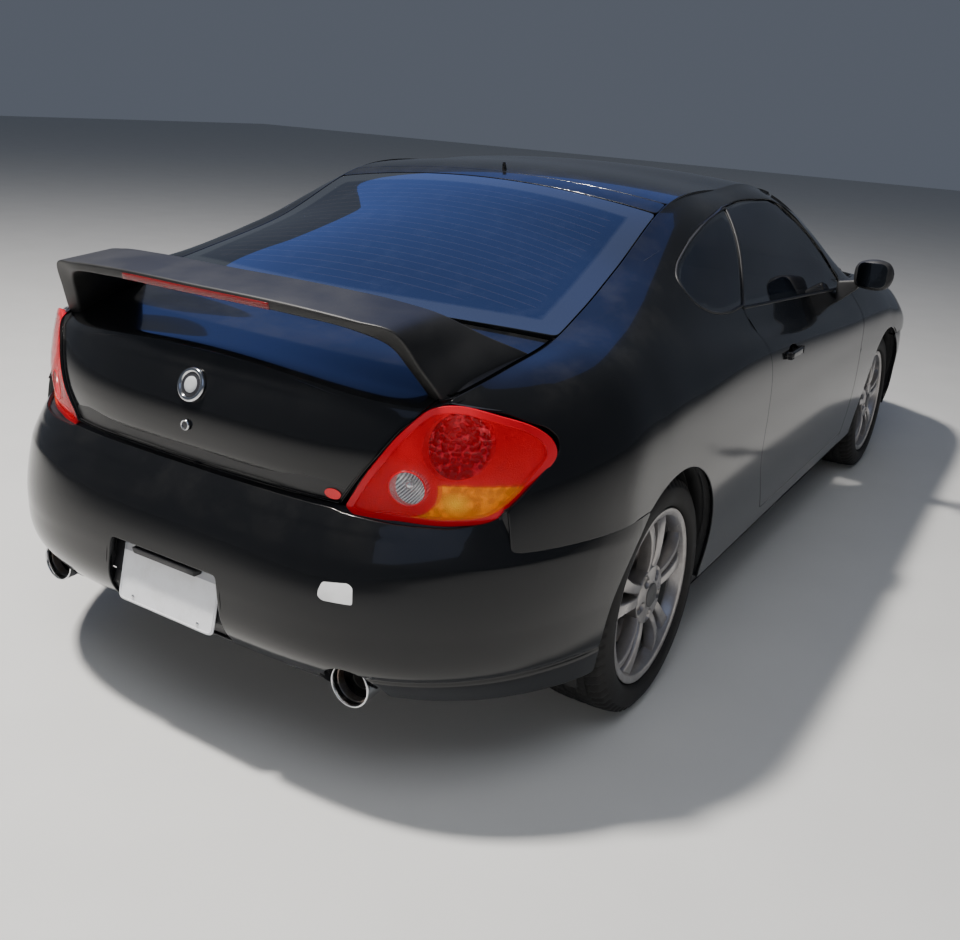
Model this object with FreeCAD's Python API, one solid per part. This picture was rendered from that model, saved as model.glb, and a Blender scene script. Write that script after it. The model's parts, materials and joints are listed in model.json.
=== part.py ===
# Three-door coupe with a liftback, built as separate panels on a one-piece floor.
# Frame: +X to the front, +Y to the car's left, +Z up, millimetres.
# The origin is on the ground under the middle of the car's length and width.
import FreeCAD, Part
import math
import os
from FreeCAD import Vector

# Overall size
LENGTH = 4395.0
WIDTH = 1760.0
HEIGHT = 1330.0
WHEELBASE = 2530.0
REAR_OVERHANG = 870.0
TRACK = 1490.0
REAR_END = -LENGTH / 2
FRONT_END = LENGTH / 2
REAR_AXLE = REAR_END + REAR_OVERHANG
FRONT_AXLE = REAR_AXLE + WHEELBASE

# Tyres and wheels
TYRE_WIDTH = 215.0
TYRE_SIDEWALL = 96.75
RIM_DIAMETER = 431.8
TYRE_RADIUS = RIM_DIAMETER / 2 + TYRE_SIDEWALL
RIM_WIDTH = 190.0
RIM_WALL = 7.0
RIM_LIP = 16.0
TYRE_SEAT_GAP = 0.3
SPOKE_COUNT = 5
SPOKE_WIDTH = 30.0
SPOKE_SPREAD = 15.0
SPOKE_DEPTH = 34.0
HUB_RADIUS = 78.0
HUB_THICK = 46.0
LUG_COUNT = 5
LUG_CIRCLE = 114.3
LUG_RADIUS = 7.0
LUG_POCKET_RADIUS = 14.0
DISC_RADIUS = 140.0
DISC_THICK = 22.0
STUB_RADIUS = 20.0
STUB_CLEARANCE = 0.05
ARCH_RADIUS = 350.0
LINER_THICK = 6.0

# Clearances
SHUT_GAP = 6.0
SEAM_GAP = 0.4
SEAT_GAP = 0.3
STEER_GAP = 8.0

# Panels and walls
SKIN = 30.0
DOOR_THICK = 92.0
ROOF_THICK = 26.0
HOOD_THICK = 24.0
HATCH_THICK = 34.0
LID_THICK = 40.0
LID_LAP = 2.0
GLASS_THICK = 5.0
SCREEN_THICK = 6.0
COWL_LAP = 40.0
COWL_HALF = 690.0
HOOD_PAD_LOW = [786.0, 590.0]
HOOD_PAD_HIGH = [860.0, 660.0]
HOOD_PAD_WIDTH = 70.0
GLASS_INSET = 5.0
BUMPER_THICK = 26.0
LAMP_DEPTH = 80.0

# Side of the body, one row for each station along the car.
# Columns: x, then y and z of low edge, knee, waist, shoulder, belt, middle, rail and top edge.
SIDE_ROWS = [
    [-1990, 600, 250, 668, 430, 694, 600, 646, 760, 616, 846, 604, 872, 594, 890, 584, 906],
    [-1900, 690, 250, 742, 430, 769, 600, 748, 750, 708, 868, 682, 902, 655, 925, 624, 941],
    [-1800, 768, 248, 804, 430, 822, 605, 808, 770, 762, 896, 725, 932, 684, 953, 636, 962],
    [-1650, 826, 243, 856, 430, 869, 620, 858, 800, 806, 928, 762, 964, 706, 982, 641, 986],
    [-1450, 840, 240, 868, 430, 880, 640, 870, 820, 806, 958, 748, 1000, 686, 1022, 623, 1035],
    [-1200, 840, 238, 868, 430, 880, 650, 868, 840, 798, 972, 736, 1052, 666, 1092, 591, 1108],
    [-830, 840, 237, 867, 430, 878, 660, 864, 860, 790, 966, 728, 1112, 656, 1208, 566, 1262],
    [-400, 839, 237, 866, 430, 876, 665, 862, 845, 787, 948, 720, 1134, 636, 1244, 551, 1290],
    [0, 838, 237, 866, 430, 876, 665, 860, 825, 786, 926, 718, 1112, 642, 1232, 556, 1286],
    [300, 838, 237, 866, 430, 876, 660, 860, 808, 785, 910, 752, 1022, 708, 1108, 630, 1182],
    [560, 838, 237, 867, 430, 877, 655, 861, 796, 786, 897, 772, 938, 748, 984, 690, 1038],
    [800, 839, 237, 868, 430, 879, 650, 862, 784, 800, 878, 778, 896, 756, 908, 722, 918],
    [1202, 838, 237, 868, 430, 880, 640, 866, 752, 812, 836, 778, 852, 742, 864, 700, 873],
    [1560, 828, 237, 860, 425, 876, 600, 860, 690, 800, 770, 764, 788, 726, 800, 680, 808],
    [1800, 764, 238, 800, 415, 818, 570, 800, 640, 742, 706, 708, 724, 672, 736, 630, 745],
    [2000, 610, 240, 650, 400, 668, 540, 650, 590, 600, 634, 574, 650, 546, 662, 512, 672],
]
QUARTER_STATIONS = [-1990, -1900, -1800, -1650, -1450, -1200, -830, -400, 0, 300, 560, 800]
FENDER_STATIONS = [560, 800, 1202, 1560, 1800, 2000]
POINTS_PER_SIDE = 8

# Shut lines of the door, seen from the side: x, z
DOOR_REAR = [[-440, 292], [-600, 520], [-604, 716], [-690, 930]]
DOOR_FRONT_X = 640.0
SILL_TOP = 292.0
QUARTER_BOTTOM = 612.0

# Side windows seen from the side: x, z
WINDOW_TOP = [[-1114, 1130], [-911, 1194], [-550, 1248], [-213, 1262], [56, 1232], [168, 1178], [292, 1092], [577, 900]]
WINDOW_BOTTOM = [[445, 906], [-708, 978], [-961, 1000], [-1102, 1089]]
WINDOW = WINDOW_TOP + WINDOW_BOTTOM
B_LINE = [[-706, 940], [-490, 1300]]
B_PILLAR_WIDTH = 70.0
DOOR_STATIONS = [-830, -400, 0, 300, 560, 800]
FENDER_REAR_X = DOOR_FRONT_X + SHUT_GAP
HINGE_HEIGHTS = [380.0, 720.0]
HANDLE_X = [-475.0, -325.0]
HANDLE_Z = 812.0
POCKET_RADIUS = 44.0
POCKET_Y = 898.0
POCKET_INSET = 18.0
LAMP_SEAM_X = -1930.0
BUMPER_TOP = 604.0

# Height of the centre line of the hood, windscreen, roof and hatch: x, z
CENTRE_LINE = [
    [-2120, 934], [-1990, 953], [-1900, 968], [-1800, 985], [-1650, 1031], [-1450, 1105], [-1200, 1192],
    [-830, 1304], [-400, 1326], [0, 1318], [300, 1240], [560, 1112], [800, 982], [900, 925], [930, 914],
]
HOOD_ROWS = [[720, 965], [1202, 915], [1560, 850], [1800, 790], [2000, 714], [2120, 655]]
TAIL_EDGE_ROWS = [[-2120, 540, 880], [-2000, 580, 903]]
NOSE_EDGE_ROWS = [[2000, 512, 672], [2120, 440, 622]]

# Rounded plan of the two ends. Columns: z, x of the end at the middle, half width
REAR_CENTRE = -1560.0
REAR_BUMPER_START = -1490.0
TAIL_FORM = [3.2, 0.55]
TAIL_LEVELS = [[600, -2112, 870], [672, -2110, 870], [768, -2122, 870], [858, -2104, 870], [942, -2064, 870], [1010, -2030, 870]]
REAR_BUMPER_FORM = [4.0, 0.65]
REAR_BUMPER_LEVELS = [[256, -2096, 862], [330, -2170, 872], [440, REAR_END - 1.3, 878], [540, -2178, 881], [593, -2160, 880], [640, -2134, 874], [668, -2112, 866]]
FRONT_CENTRE = 1500.0
FRONT_BUMPER_START = 1380.0
NOSE_FORM = [3.0, 0.6]
NOSE_LEVELS = [[228, 2120, 846], [300, 2172, 862], [420, FRONT_END - 1.3, 872], [520, 2192, 879], [600, 2160, 874], [660, 2104, 856], [740, 2010, 842]]
PLAN_SHARES = [0.0, 0.3, 0.56, 0.72, 0.86, 0.945]

# Outlines seen from behind and from in front: y, z
LAMP_OUTLINE = [
    [425, 676], [434, 666], [538, 661], [640, 660], [695, 671], [741, 718], [765, 765], [784, 813],
    [775, 845], [755, 867], [692, 895], [600, 909], [581, 904], [533, 853], [496, 794],
]
# Round lenses in the tail lamp. Columns: radius, x, y, z of the middle, then the way it faces in x and y
LAMP_ROUNDS = [
    [38, -2042, 552, 735, -0.906, 0.422],
    [40, -1991, 631, 831, -0.830, 0.557],
]
LENS_PROUD = 2.0
LENS_GROOVE = 5.0
LID_OUTLINE = [[413, 678], [419, 690], [490, 795], [527, 854], [574, 906], [574, 1000]]
HEADLAMP_OUTLINE = [[372, 604], [520, 596], [690, 606], [772, 640], [800, 712], [770, 742], [600, 716], [470, 690], [400, 662]]

# Joints
DOOR_HINGE_X = 643.0
DOOR_HINGE_Y = WIDTH / 2
HATCH_HINGE_X = -834.0
HATCH_HINGE_Z = 1305.0
HOOD_HINGE_X = 752.0
HOOD_HINGE_Z = 932.0
KINGPIN_Y = 715.0

# Wing on the hatch. Columns: y, rear x, rear z, front x, front z
WING_ROWS = [
    [0, -2112, 1086, -1968, 1108],
    [280, -2100, 1082, -1950, 1104],
    [505, -2068, 1062, -1905, 1082],
]
WING_THICK = 24.0
# Corners of the left leg: four under the blade's end, then four on the hatch, each rear outer, front outer,
# front inner, rear inner
WING_LEG = [
    [-2064, 512, 1060], [-1905, 512, 1076], [-1912, 440, 1076], [-2050, 440, 1046],
    [-1966, 592, 880], [-1662, 636, 960], [-1700, 560, 960], [-1950, 520, 880],
]
WING_LEG_FACES = [[0, 1, 2], [0, 2, 3], [4, 6, 5], [4, 7, 6], [0, 5, 1], [0, 4, 5], [1, 6, 2], [1, 5, 6],
                  [2, 7, 3], [2, 6, 7], [3, 4, 0], [3, 7, 4]]
BRAKE_STRIP_HALF = 224.0

# Number plate
PLATE_WIDTH = 304.8
PLATE_HEIGHT = 152.4
PLATE_THICK = 2.0
PLATE_Z = 400.0
PLATE_TILT = 10.2

# Exhaust
TIP_X = -2096.0
TIP_Y = 478.0
TIP_Z = 290.0
TIP_RADIUS = 45.0
TIP_WALL = 2.5
TIP_LENGTH = 150.0
PIPE_RADIUS = 27.0
TIP_CUT_RADIUS = 62.0

# Floor and what hangs under it
FLOOR_LOW = 188.0
FLOOR_TOP = 206.0
CARGO_TOP = 380.0
FIREWALL_X = 905.0
FIREWALL_TOP = 872.0
TUNNEL_HALF = 130.0
TUNNEL_TOP = 330.0
FLOOR_HALF = 722.0
REAR_WALL_X = -2060.0
RISER_X = -1010.0
WALL = 16.0
CARGO_HALF = 520.0
FRONT_HOUSING_Y = 440.0
HOUSING_OUT = 802.0
LINK_HOLE = 150.0
RAIL_Y = [370.0, FRONT_HOUSING_Y - SEAT_GAP]
RAIL_Z = [300.0, 400.0]
NOSE_BAR_LOW = [2016.0, 450.0]
NOSE_BAR_HALF = 450.0
NOSE_BAR_DEPTH = 60.0
NOSE_BAR_HEIGHT = 80.0
REAR_WALL_TOP = 600.0
# Columns: axle, inner side, top of the opening for axle or arms
HOUSINGS = [
    [REAR_AXLE, CARGO_HALF, TYRE_RADIUS + 60],
    [FRONT_AXLE, FRONT_HOUSING_Y, 240.0],
]

# Doors, mirrors, lamps in front
MIRROR_ROWS = [[858, 352, 470, 940, 1030], [905, 340, 462, 930, 1052], [960, 346, 452, 930, 1056], [998, 366, 440, 946, 1040]]
MIRROR_ARM = [[392, 850], [486, 850], [486, 944], [462, 960], [400, 960]]
MIRROR_ARM_Y = [792.0, 872.0]
FOG_Y = 610.0
FOG_Z = 372.0
FOG_RADIUS = 46.0
INTAKE = [[-430, 285], [430, 285], [390, 440], [-390, 440]]
UPPER_GRILLE = [[-330, 584], [330, 584], [296, 632], [-296, 632]]
GRILLE_DEPTH = 24.0
GRILLE_SET_BACK = 10.0
GRILLE_LEVELS = [[z, end_x - GRILLE_SET_BACK, half - GRILLE_SET_BACK] for z, end_x, half in NOSE_LEVELS]
BAR_THICK = 9.0

# Glass of the hatch, windscreen and their seams, seen from above: x at the middle, x at the side
GLASS_FRONT_X = -905.0
GLASS_REAR_X = [-1704.0, -1540.0]
SCREEN_TOP = [170.0, 60.0]
SCREEN_BASE = [880.0, 716.0]
HOOD_REAR = [912.0, 752.0]
HOOD_FRONT = [2088.0, 1935.0]
TOP_STATIONS = [-2120, -1990, -1900, -1800, -1650, -1450, -1200, -842]
ROOF_STATIONS = [-826, -400, 0, 300]
SCREEN_STATIONS = [0, 300, 560, 800, 900, 930]
HOOD_STATIONS = [720, 1202, 1560, 1800, 2000, 2120]

PLATE_X = -2174.6
VALANCE_TOP = 302.0
VALANCE_HALF = 412.0
VALANCE_LEVELS = [[250, -2078, 866], [276, -2096, 870], [305, -2122, 874]]
NOSE_SEAM_X = 1950.0
WIPER_PIVOTS = [520.0, -30.0]
WIPER_PIVOT_AHEAD = 13.0
WIPER_PIVOT_RADIUS = 9.0
WIPER_PIVOT_HIGH = 14.0
WIPER_BACK = 40.0
ANTENNA_X = -800.0
ANTENNA_Z = 1309.0
ANTENNA_RADIUS = 13.0
ANTENNA_HEIGHT = 24.0
BADGE_RADIUS = 39.0
BADGE_X = -2104.0
BADGE_Z = 858.0
LOCK_RADIUS = 13.0
LOCK_X = -2122.0
LOCK_Z = 768.0

# Wheel parts across the car, from the middle of the wheel outward
HUB_FACE_Y = 46.0
DISC_Y = 2.0
KNUCKLE_IN = -58.0
KNUCKLE_OUT = -4.0
SPOKE_START = 90.0
UPRIGHT_HALF = 120.0

# Suspension
STRUT_Y = 552.0
STRUT_LOW = 430.0
STRUT_RADIUS = 24.0
SPRING_LOW = 520.0
SPRING_RADIUS = 34.0
BEAM_HALF = 330.0
BEAM_LOW = 170.0
BEAM_TOP = 214.0
BEAM_LEG_Y = [320.0, 420.0]
BALL_LOW = 168.0
BALL_RADIUS = 11.0
DAMPER_Y = 592.0
DAMPER_BACK = 60.0

# Inside
ENGINE_LOW = [980.0, -290.0, BEAM_TOP + SEAT_GAP]
ENGINE_HIGH = [1560.0, 300.0, 760.0]
RADIATOR_LOW = [1960.0, -RAIL_Y[0] + SEAT_GAP, 262.0]
RADIATOR_HIGH = [2000.0, RAIL_Y[0] - SEAT_GAP, 600.0]
TANK_LOW = [-1270.0, -500.0, 240.0]
TANK_HIGH = [-1030.0, 500.0, CARGO_TOP - WALL - SEAT_GAP]
SILENCER_X = -1860.0
SILENCER_Z = CARGO_TOP - WALL - SEAT_GAP - 78.0
SILENCER_RADIUS = 78.0
SEAT_Y = 370.0
SEAT_HALF = 237.0
CUSHION_ROWS = [
    [-340, 385, 200, 50, 30],
    [-300, 380, 222, 62, 40],
    [-40, 372, SEAT_HALF, 68, 45],
    [130, 390, SEAT_HALF, 72, 45],
    [200, 400, 222, 52, 35],
]
BACK_ROWS = [
    [-350, 330, 190, 60, 40],
    [-375, 450, 215, 80, 50],
    [-420, 660, SEAT_HALF, 78, 50],
    [-475, 880, 205, 58, 40],
    [-492, 955, 150, 42, 30],
]
HEADREST_ROWS = [
    [-495, 992, 105, 26, 20],
    [-500, 1020, 128, 40, 30],
    [-508, 1090, 122, 40, 30],
    [-513, 1124, 95, 24, 18],
]
STEERING_X = 420.0
DASH_HALF = 680.0
STEERING_Z = 800.0


def vec(x, y, z):
    return Vector(x, y, z)


def mirrored(shape):
    return shape.mirror(vec(0, 0, 0), vec(0, 1, 0))


def box(low, high):
    size = [high[i] - low[i] for i in range(3)]
    return Part.makeBox(size[0], size[1], size[2], vec(*low))


def cylinder_y(radius, x, y_low, y_high, z):
    return Part.makeCylinder(radius, y_high - y_low, vec(x, y_low, z), vec(0, 1, 0))


def side_prism(points, y_low, y_high):
    """A prism across the car from an outline of x, z points."""
    corners = [vec(p[0], y_low, p[1]) for p in points]
    wire = Part.makePolygon(corners + corners[:1])
    return Part.Face(wire).extrude(vec(0, y_high - y_low, 0))


def end_prism(points, x_low, x_high):
    """A prism along the car from an outline of y, z points."""
    corners = [vec(x_low, p[0], p[1]) for p in points]
    wire = Part.makePolygon(corners + corners[:1])
    return Part.Face(wire).extrude(vec(x_high - x_low, 0, 0))


def rounded_loop(middle, half_a, half_b, radius, along_a, along_b):
    """A rectangle with rounded corners, between two directions from its middle."""
    def at(a, b):
        return middle + along_a * a + along_b * b

    flat_a, flat_b = half_a - radius, half_b - radius
    bend = radius * (1 - math.sqrt(0.5))
    edges = []
    ends = []
    for sign_a, sign_b in ((1, 1), (-1, 1), (-1, -1), (1, -1)):
        start = at(sign_a * half_a, sign_b * flat_b)
        stop = at(sign_a * flat_a, sign_b * half_b)
        middle_of_arc = at(sign_a * (half_a - bend), sign_b * (half_b - bend))
        if sign_a * sign_b < 0:
            start, stop = stop, start
        ends.append((start, stop))
        edges.append(Part.Arc(start, middle_of_arc, stop).toShape())
    for i in range(4):
        edges.append(Part.makeLine(ends[i][1], ends[(i + 1) % 4][0]))
    return Part.Wire(Part.__sortEdges__(edges))


def row_at(x):
    """Side row at any x, worked out between the two nearest rows."""
    rows = SIDE_ROWS
    if x <= rows[0][0]:
        return rows[0]
    for low, high in zip(rows[:-1], rows[1:]):
        if low[0] <= x <= high[0]:
            share = (x - low[0]) / (high[0] - low[0])
            return [a + (b - a) * share for a, b in zip(low, high)]
    return rows[-1]


def outer_points(x):
    row = row_at(x)
    return [(row[1 + 2 * i], row[2 + 2 * i]) for i in range(POINTS_PER_SIDE)]


def offset_points(points, depth):
    """The points moved inward, square to the line through them."""
    moved = []
    last = len(points) - 1
    for i, (y, z) in enumerate(points):
        before = points[max(i - 1, 0)]
        after = points[min(i + 1, last)]
        dy = after[0] - before[0]
        dz = after[1] - before[1]
        size = math.hypot(dy, dz)
        moved.append((y - dz / size * depth, z + dy / size * depth))
    return moved


def side_wall(stations, depth_out, depth_in):
    """A wall of the left side between two depths under the outer skin."""
    wires = []
    for x in stations:
        points = outer_points(x)
        outer = offset_points(points, depth_out) if depth_out else points
        inner = offset_points(points, depth_in)
        loop = outer + inner[::-1]
        corners = [vec(x, y, z) for y, z in loop]
        wires.append(Part.makePolygon(corners + corners[:1]))
    return Part.makeLoft(wires, True, False, False, 3)


def line_at(rows, x, column=1):
    """Value of a column at any x, between the nearest rows."""
    if x <= rows[0][0]:
        return rows[0][column]
    for low, high in zip(rows[:-1], rows[1:]):
        if low[0] <= x <= high[0]:
            share = (x - low[0]) / (high[0] - low[0])
            return low[column] + (high[column] - low[column]) * share
    return rows[-1][column]


def arc_height(z_middle, y_edge, z_edge, y):
    """Height at y of the arc over the middle and both edges."""
    drop = z_middle - z_edge
    radius = (y_edge ** 2 + drop ** 2) / (2 * drop)
    return z_middle - radius + math.sqrt(radius ** 2 - y ** 2)


def crown_section(x, z_middle, y_side, z_side, depth_out, depth_in):
    """Closed section across the car: an arc over the top and one below it."""
    ends = []
    for depth in (depth_out, depth_in):
        left = vec(x, y_side, z_side - depth)
        middle = vec(x, 0, z_middle - depth)
        right = vec(x, -y_side, z_side - depth)
        ends.append((left, middle, right))
    upper = Part.Arc(*ends[0]).toShape()
    lower = Part.Arc(*ends[1]).toShape()
    side_left = Part.LineSegment(ends[1][0], ends[0][0]).toShape()
    side_right = Part.LineSegment(ends[0][2], ends[1][2]).toShape()
    return Part.Wire([upper, side_right, lower, side_left])


def crown_panel(stations, centre, inset, depth_out, depth_in):
    """A crowned panel between the two sides, held back from their top edges."""
    wires = []
    for x in stations:
        if x < SIDE_ROWS[0][0]:
            y_edge = line_at(TAIL_EDGE_ROWS, x, 1)
            z_edge = line_at(TAIL_EDGE_ROWS, x, 2)
        elif x > SIDE_ROWS[-1][0]:
            y_edge = line_at(NOSE_EDGE_ROWS, x, 1)
            z_edge = line_at(NOSE_EDGE_ROWS, x, 2)
        else:
            y_edge, z_edge = outer_points(x)[-1]
        z_middle = line_at(centre, x)
        y_side = y_edge - inset
        z_side = arc_height(z_middle, y_edge, z_edge, y_side)
        wires.append(crown_section(x, z_middle, y_side, z_side, depth_out, depth_in))
    return Part.makeLoft(wires, True, False, False, 3)


def above_crown(stations, centre, depth):
    """Everything above the crowned top, to cut away what stands over it."""
    return crown_panel(stations, centre, -60.0, -500.0, depth)


def plan_point(middle_x, end_x, half, form, share):
    """A point of the rounded plan at a share of the half width."""
    reach = end_x - middle_x
    return vec(middle_x + reach * (1 - share ** form[0]) ** form[1], share * half, 0)


def plan_curve(middle_x, end_x, half, form, close_x, z):
    """Arcs that follow the rounded plan from the left side round to the right."""
    side = []
    for share in PLAN_SHARES:
        point = plan_point(middle_x, end_x, half, form, share)
        side.append(vec(point.x, point.y, z))
    last = vec(close_x, half, z)
    between = vec((side[5].x + last.x) / 2, side[5].y + (half - side[5].y) * 0.72, z)
    left = [Part.Arc(last, between, side[5]), Part.Arc(side[5], side[4], side[3])]
    edges = [arc.toShape() for arc in left]
    centre_left = Part.Arc(side[3], side[2], side[1]).toShape()
    nose = Part.Arc(side[1], side[0], vec(side[1].x, -side[1].y, z)).toShape()
    rights = [mirrored(edge) for edge in (centre_left, edges[1], edges[0])]
    return edges + [centre_left, nose] + rights


def end_ring(middle_x, levels, form, close_x, thick):
    """The wall round one end of the car, from its rounded plan at each level."""
    wires = []
    toward = 1 if middle_x > 0 else -1
    for z, end_x, half in levels:
        outer = plan_curve(middle_x, end_x, half, form, close_x, z)
        inner = plan_curve(middle_x, end_x - toward * thick, half - thick, form, close_x, z)
        caps = []
        for sign in (1, -1):
            caps.append(Part.makeLine(vec(close_x, sign * half, z), vec(close_x, sign * (half - thick), z)))
        wires.append(Part.Wire(Part.__sortEdges__(outer + inner + caps)))
    return Part.makeLoft(wires, True, False, False, 3)


def end_block(middle_x, levels, form, close_x):
    """The full solid inside the rounded plan of one end."""
    wires = []
    for z, end_x, half in levels:
        outer = plan_curve(middle_x, end_x, half, form, close_x, z)
        cap = Part.makeLine(vec(close_x, half, z), vec(close_x, -half, z))
        wires.append(Part.Wire(Part.__sortEdges__(outer + [cap])))
    return Part.makeLoft(wires, True, False, False, 3)


def grown(points, distance):
    """An outline moved outward by a distance; its points run either way round."""
    count = len(points)
    area = sum(points[i][0] * points[(i + 1) % count][1] - points[(i + 1) % count][0] * points[i][1] for i in range(count))
    turn = 1 if area > 0 else -1
    lines = []
    for i in range(count):
        ax, az = points[i]
        bx, bz = points[(i + 1) % count]
        size = math.hypot(bx - ax, bz - az)
        nx = turn * (bz - az) / size * distance
        nz = -turn * (bx - ax) / size * distance
        lines.append((ax + nx, az + nz, bx - ax, bz - az))
    moved = []
    for i in range(count):
        px, pz, dx, dz = lines[i - 1]
        qx, qz, ex, ez = lines[i]
        cross = dx * ez - dz * ex
        if abs(cross) < 1e-6:
            moved.append([qx, qz])
            continue
        t = ((qx - px) * ez - (qz - pz) * ex) / cross
        moved.append([px + dx * t, pz + dz * t])
    return moved


def whole(shape):
    """The largest solid of a shape, without the slivers that cuts can leave."""
    return max(shape.Solids, key=lambda solid: solid.Volume)


def facets_solid(points, faces):
    """A solid with flat faces from its corners."""
    shell = []
    for face in faces:
        loop = [points[i] for i in face]
        shell.append(Part.Face(Part.makePolygon(loop + loop[:1])))
    return Part.Solid(Part.makeShell(shell))


def both_sides(shape):
    return Part.Compound([shape, mirrored(shape)])


def tube(points, radius):
    """A pipe of straight runs with a ball at each turn."""
    pieces = []
    for a, b in zip(points[:-1], points[1:]):
        run = b - a
        pieces.append(Part.makeCylinder(radius, run.Length, a, run))
    for point in points[1:-1]:
        pieces.append(Part.makeSphere(radius, point))
    return pieces[0].multiFuse(pieces[1:])


def plan_arc_block(x_middle, x_side, x_far, z_low=0.0, z_high=1600.0, half=760.0):
    """A block whose one end is an arc across the car and whose other end is far away."""
    arc = Part.Arc(vec(x_side, half, z_low), vec(x_middle, 0, z_low), vec(x_side, -half, z_low)).toShape()
    corners = [vec(x_side, -half, z_low), vec(x_far, -half, z_low), vec(x_far, half, z_low), vec(x_side, half, z_low)]
    edges = [Part.makeLine(a, b) for a, b in zip(corners[:-1], corners[1:])]
    face = Part.Face(Part.Wire([arc] + edges))
    return face.extrude(vec(0, 0, z_high - z_low))


def door_outline():
    """The door seen from the side, up to the foot of its window."""
    sill_rear, sill_front = WINDOW_BOTTOM[1], WINDOW_BOTTOM[0]
    corner_x = DOOR_REAR[-1][0]
    corner = [corner_x, line_at([sill_rear, sill_front], corner_x)]
    return [[DOOR_FRONT_X, SILL_TOP], [DOOR_FRONT_X, WINDOW_TOP[-1][1] - 6], sill_front, corner] + DOOR_REAR[:-1][::-1]


def b_line_region(shift, forward):
    """What lies in front of, or behind, the line between the two side windows."""
    far = 2500 if forward else -2500
    low, high = B_LINE
    return side_prism([[low[0] + shift, low[1]], [far, low[1]], [far, high[1]], [high[0] + shift, high[1]]], 300, 1000)


def make_body_side():
    wall = side_wall(QUARTER_STATIONS, 0, SKIN)
    opening = side_prism(grown(door_outline(), SHUT_GAP), 300, 1000)
    window = side_prism(WINDOW, 300, 1000)
    behind_glass = side_wall(QUARTER_STATIONS, GLASS_INSET + GLASS_THICK + SHUT_GAP, SKIN + 6)
    pillar = window.common(behind_glass)
    pillar = pillar.common(b_line_region(0, False)).common(b_line_region(-B_PILLAR_WIDTH, True))
    cuts = [
        opening,
        cylinder_y(ARCH_RADIUS, REAR_AXLE, 300, 1000, TYRE_RADIUS),
        box([-2100, 0, 0], [REAR_AXLE, 1000, QUARTER_BOTTOM]),
        box([-2100, 0, 0], [LAMP_SEAM_X, 1000, 700]),
        end_prism(grown(LAMP_OUTLINE, SEAM_GAP), -2200, -1700),
        box([FENDER_REAR_X - SEAM_GAP, 0, 0], [900, 1000, 905]),
        plan_arc_block(HOOD_REAR[0] - 60, HOOD_REAR[1] - 60, 2000, 0),
        box([HOOD_REAR[1] - 60, 759, 0], [2000, 1000, 1400]),
    ]
    side = whole(wall.cut(cuts[0].multiFuse(cuts[1:])).cut(window))
    roof_end = plan_arc_block(SCREEN_TOP[0] + SEAM_GAP, SCREEN_TOP[1] + SEAM_GAP, 1000)
    side = side.cut(crown_panel([-832] + ROOF_STATIONS[1:], CENTRE_LINE, SEAM_GAP / 2, -50, ROOF_THICK + SEAT_GAP).cut(roof_end))
    side = side.cut(crown_panel(SCREEN_STATIONS, CENTRE_LINE, SEAM_GAP / 2, -50, SCREEN_THICK + SEAT_GAP).common(roof_end))
    side = whole(side.cut(crown_panel(TOP_STATIONS, CENTRE_LINE, SEAM_GAP / 2, -50, HATCH_THICK + SHUT_GAP)))
    post = box([DOOR_FRONT_X + SEAT_GAP, 740, FLOOR_TOP], [FENDER_REAR_X + 50, 800, 880])
    leaves = [box([DOOR_FRONT_X + SEAT_GAP, 790, z], [FENDER_REAR_X + 50, 846, z + 70]) for z in HINGE_HEIGHTS]
    sill = box([REAR_AXLE + ARCH_RADIUS + 10, FLOOR_HALF, FLOOR_LOW], [FENDER_REAR_X + 50, 815, SILL_TOP - SHUT_GAP])
    fender_zone = side_wall(FENDER_STATIONS, -2, SKIN + SEAT_GAP).common(box([FENDER_REAR_X - SEAM_GAP, 0, 0], [1000, 1000, 905]))
    frame = post.multiFuse([sill] + leaves).cut(fender_zone)
    return side.multiFuse([pillar, frame])


def make_fender():
    wall = side_wall(FENDER_STATIONS, 0, SKIN)
    cuts = [
        cylinder_y(ARCH_RADIUS, FRONT_AXLE, 300, 1000, TYRE_RADIUS),
        box([FRONT_AXLE, 0, 0], [2400, 1000, BUMPER_TOP]),
        end_prism(grown(HEADLAMP_OUTLINE, SEAM_GAP), 1500, 2300),
        box([400, 0, 0], [FENDER_REAR_X, 1000, 1400]),
        plan_arc_block(HOOD_REAR[0] - 60 + SEAM_GAP, HOOD_REAR[1] - 60 + SEAM_GAP, 400, 905 - SEAM_GAP),
        box([400, 759, 905 - SEAM_GAP], [HOOD_REAR[1] - 60 + SEAM_GAP, 1000, 1400]),
        box([1950, 0, 0], [2400, 1000, 1000]),
    ]
    fender = wall.cut(cuts[0].multiFuse(cuts[1:]))
    return whole(fender.cut(crown_panel(HOOD_STATIONS, HOOD_ROWS, SEAM_GAP / 2, -50, HOOD_THICK + SHUT_GAP)))


def make_door():
    wall = side_wall(DOOR_STATIONS, 0, DOOR_THICK)
    door = wall.common(side_prism(door_outline(), 300, 1000))
    bar = box([HANDLE_X[0], 878, HANDLE_Z - 12], [HANDLE_X[1], 890, HANDLE_Z + 12])
    posts = [box([x, 850, HANDLE_Z - 10], [x + 24, 880, HANDLE_Z + 10]) for x in (HANDLE_X[0], HANDLE_X[1] - 24)]
    length = HANDLE_X[1] - HANDLE_X[0] - 2 * POCKET_INSET
    pocket = Part.makeCylinder(POCKET_RADIUS, length, vec(HANDLE_X[0] + POCKET_INSET, POCKET_Y, HANDLE_Z), vec(1, 0, 0))
    return whole(door.cut(pocket).multiFuse([bar] + posts))


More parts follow.
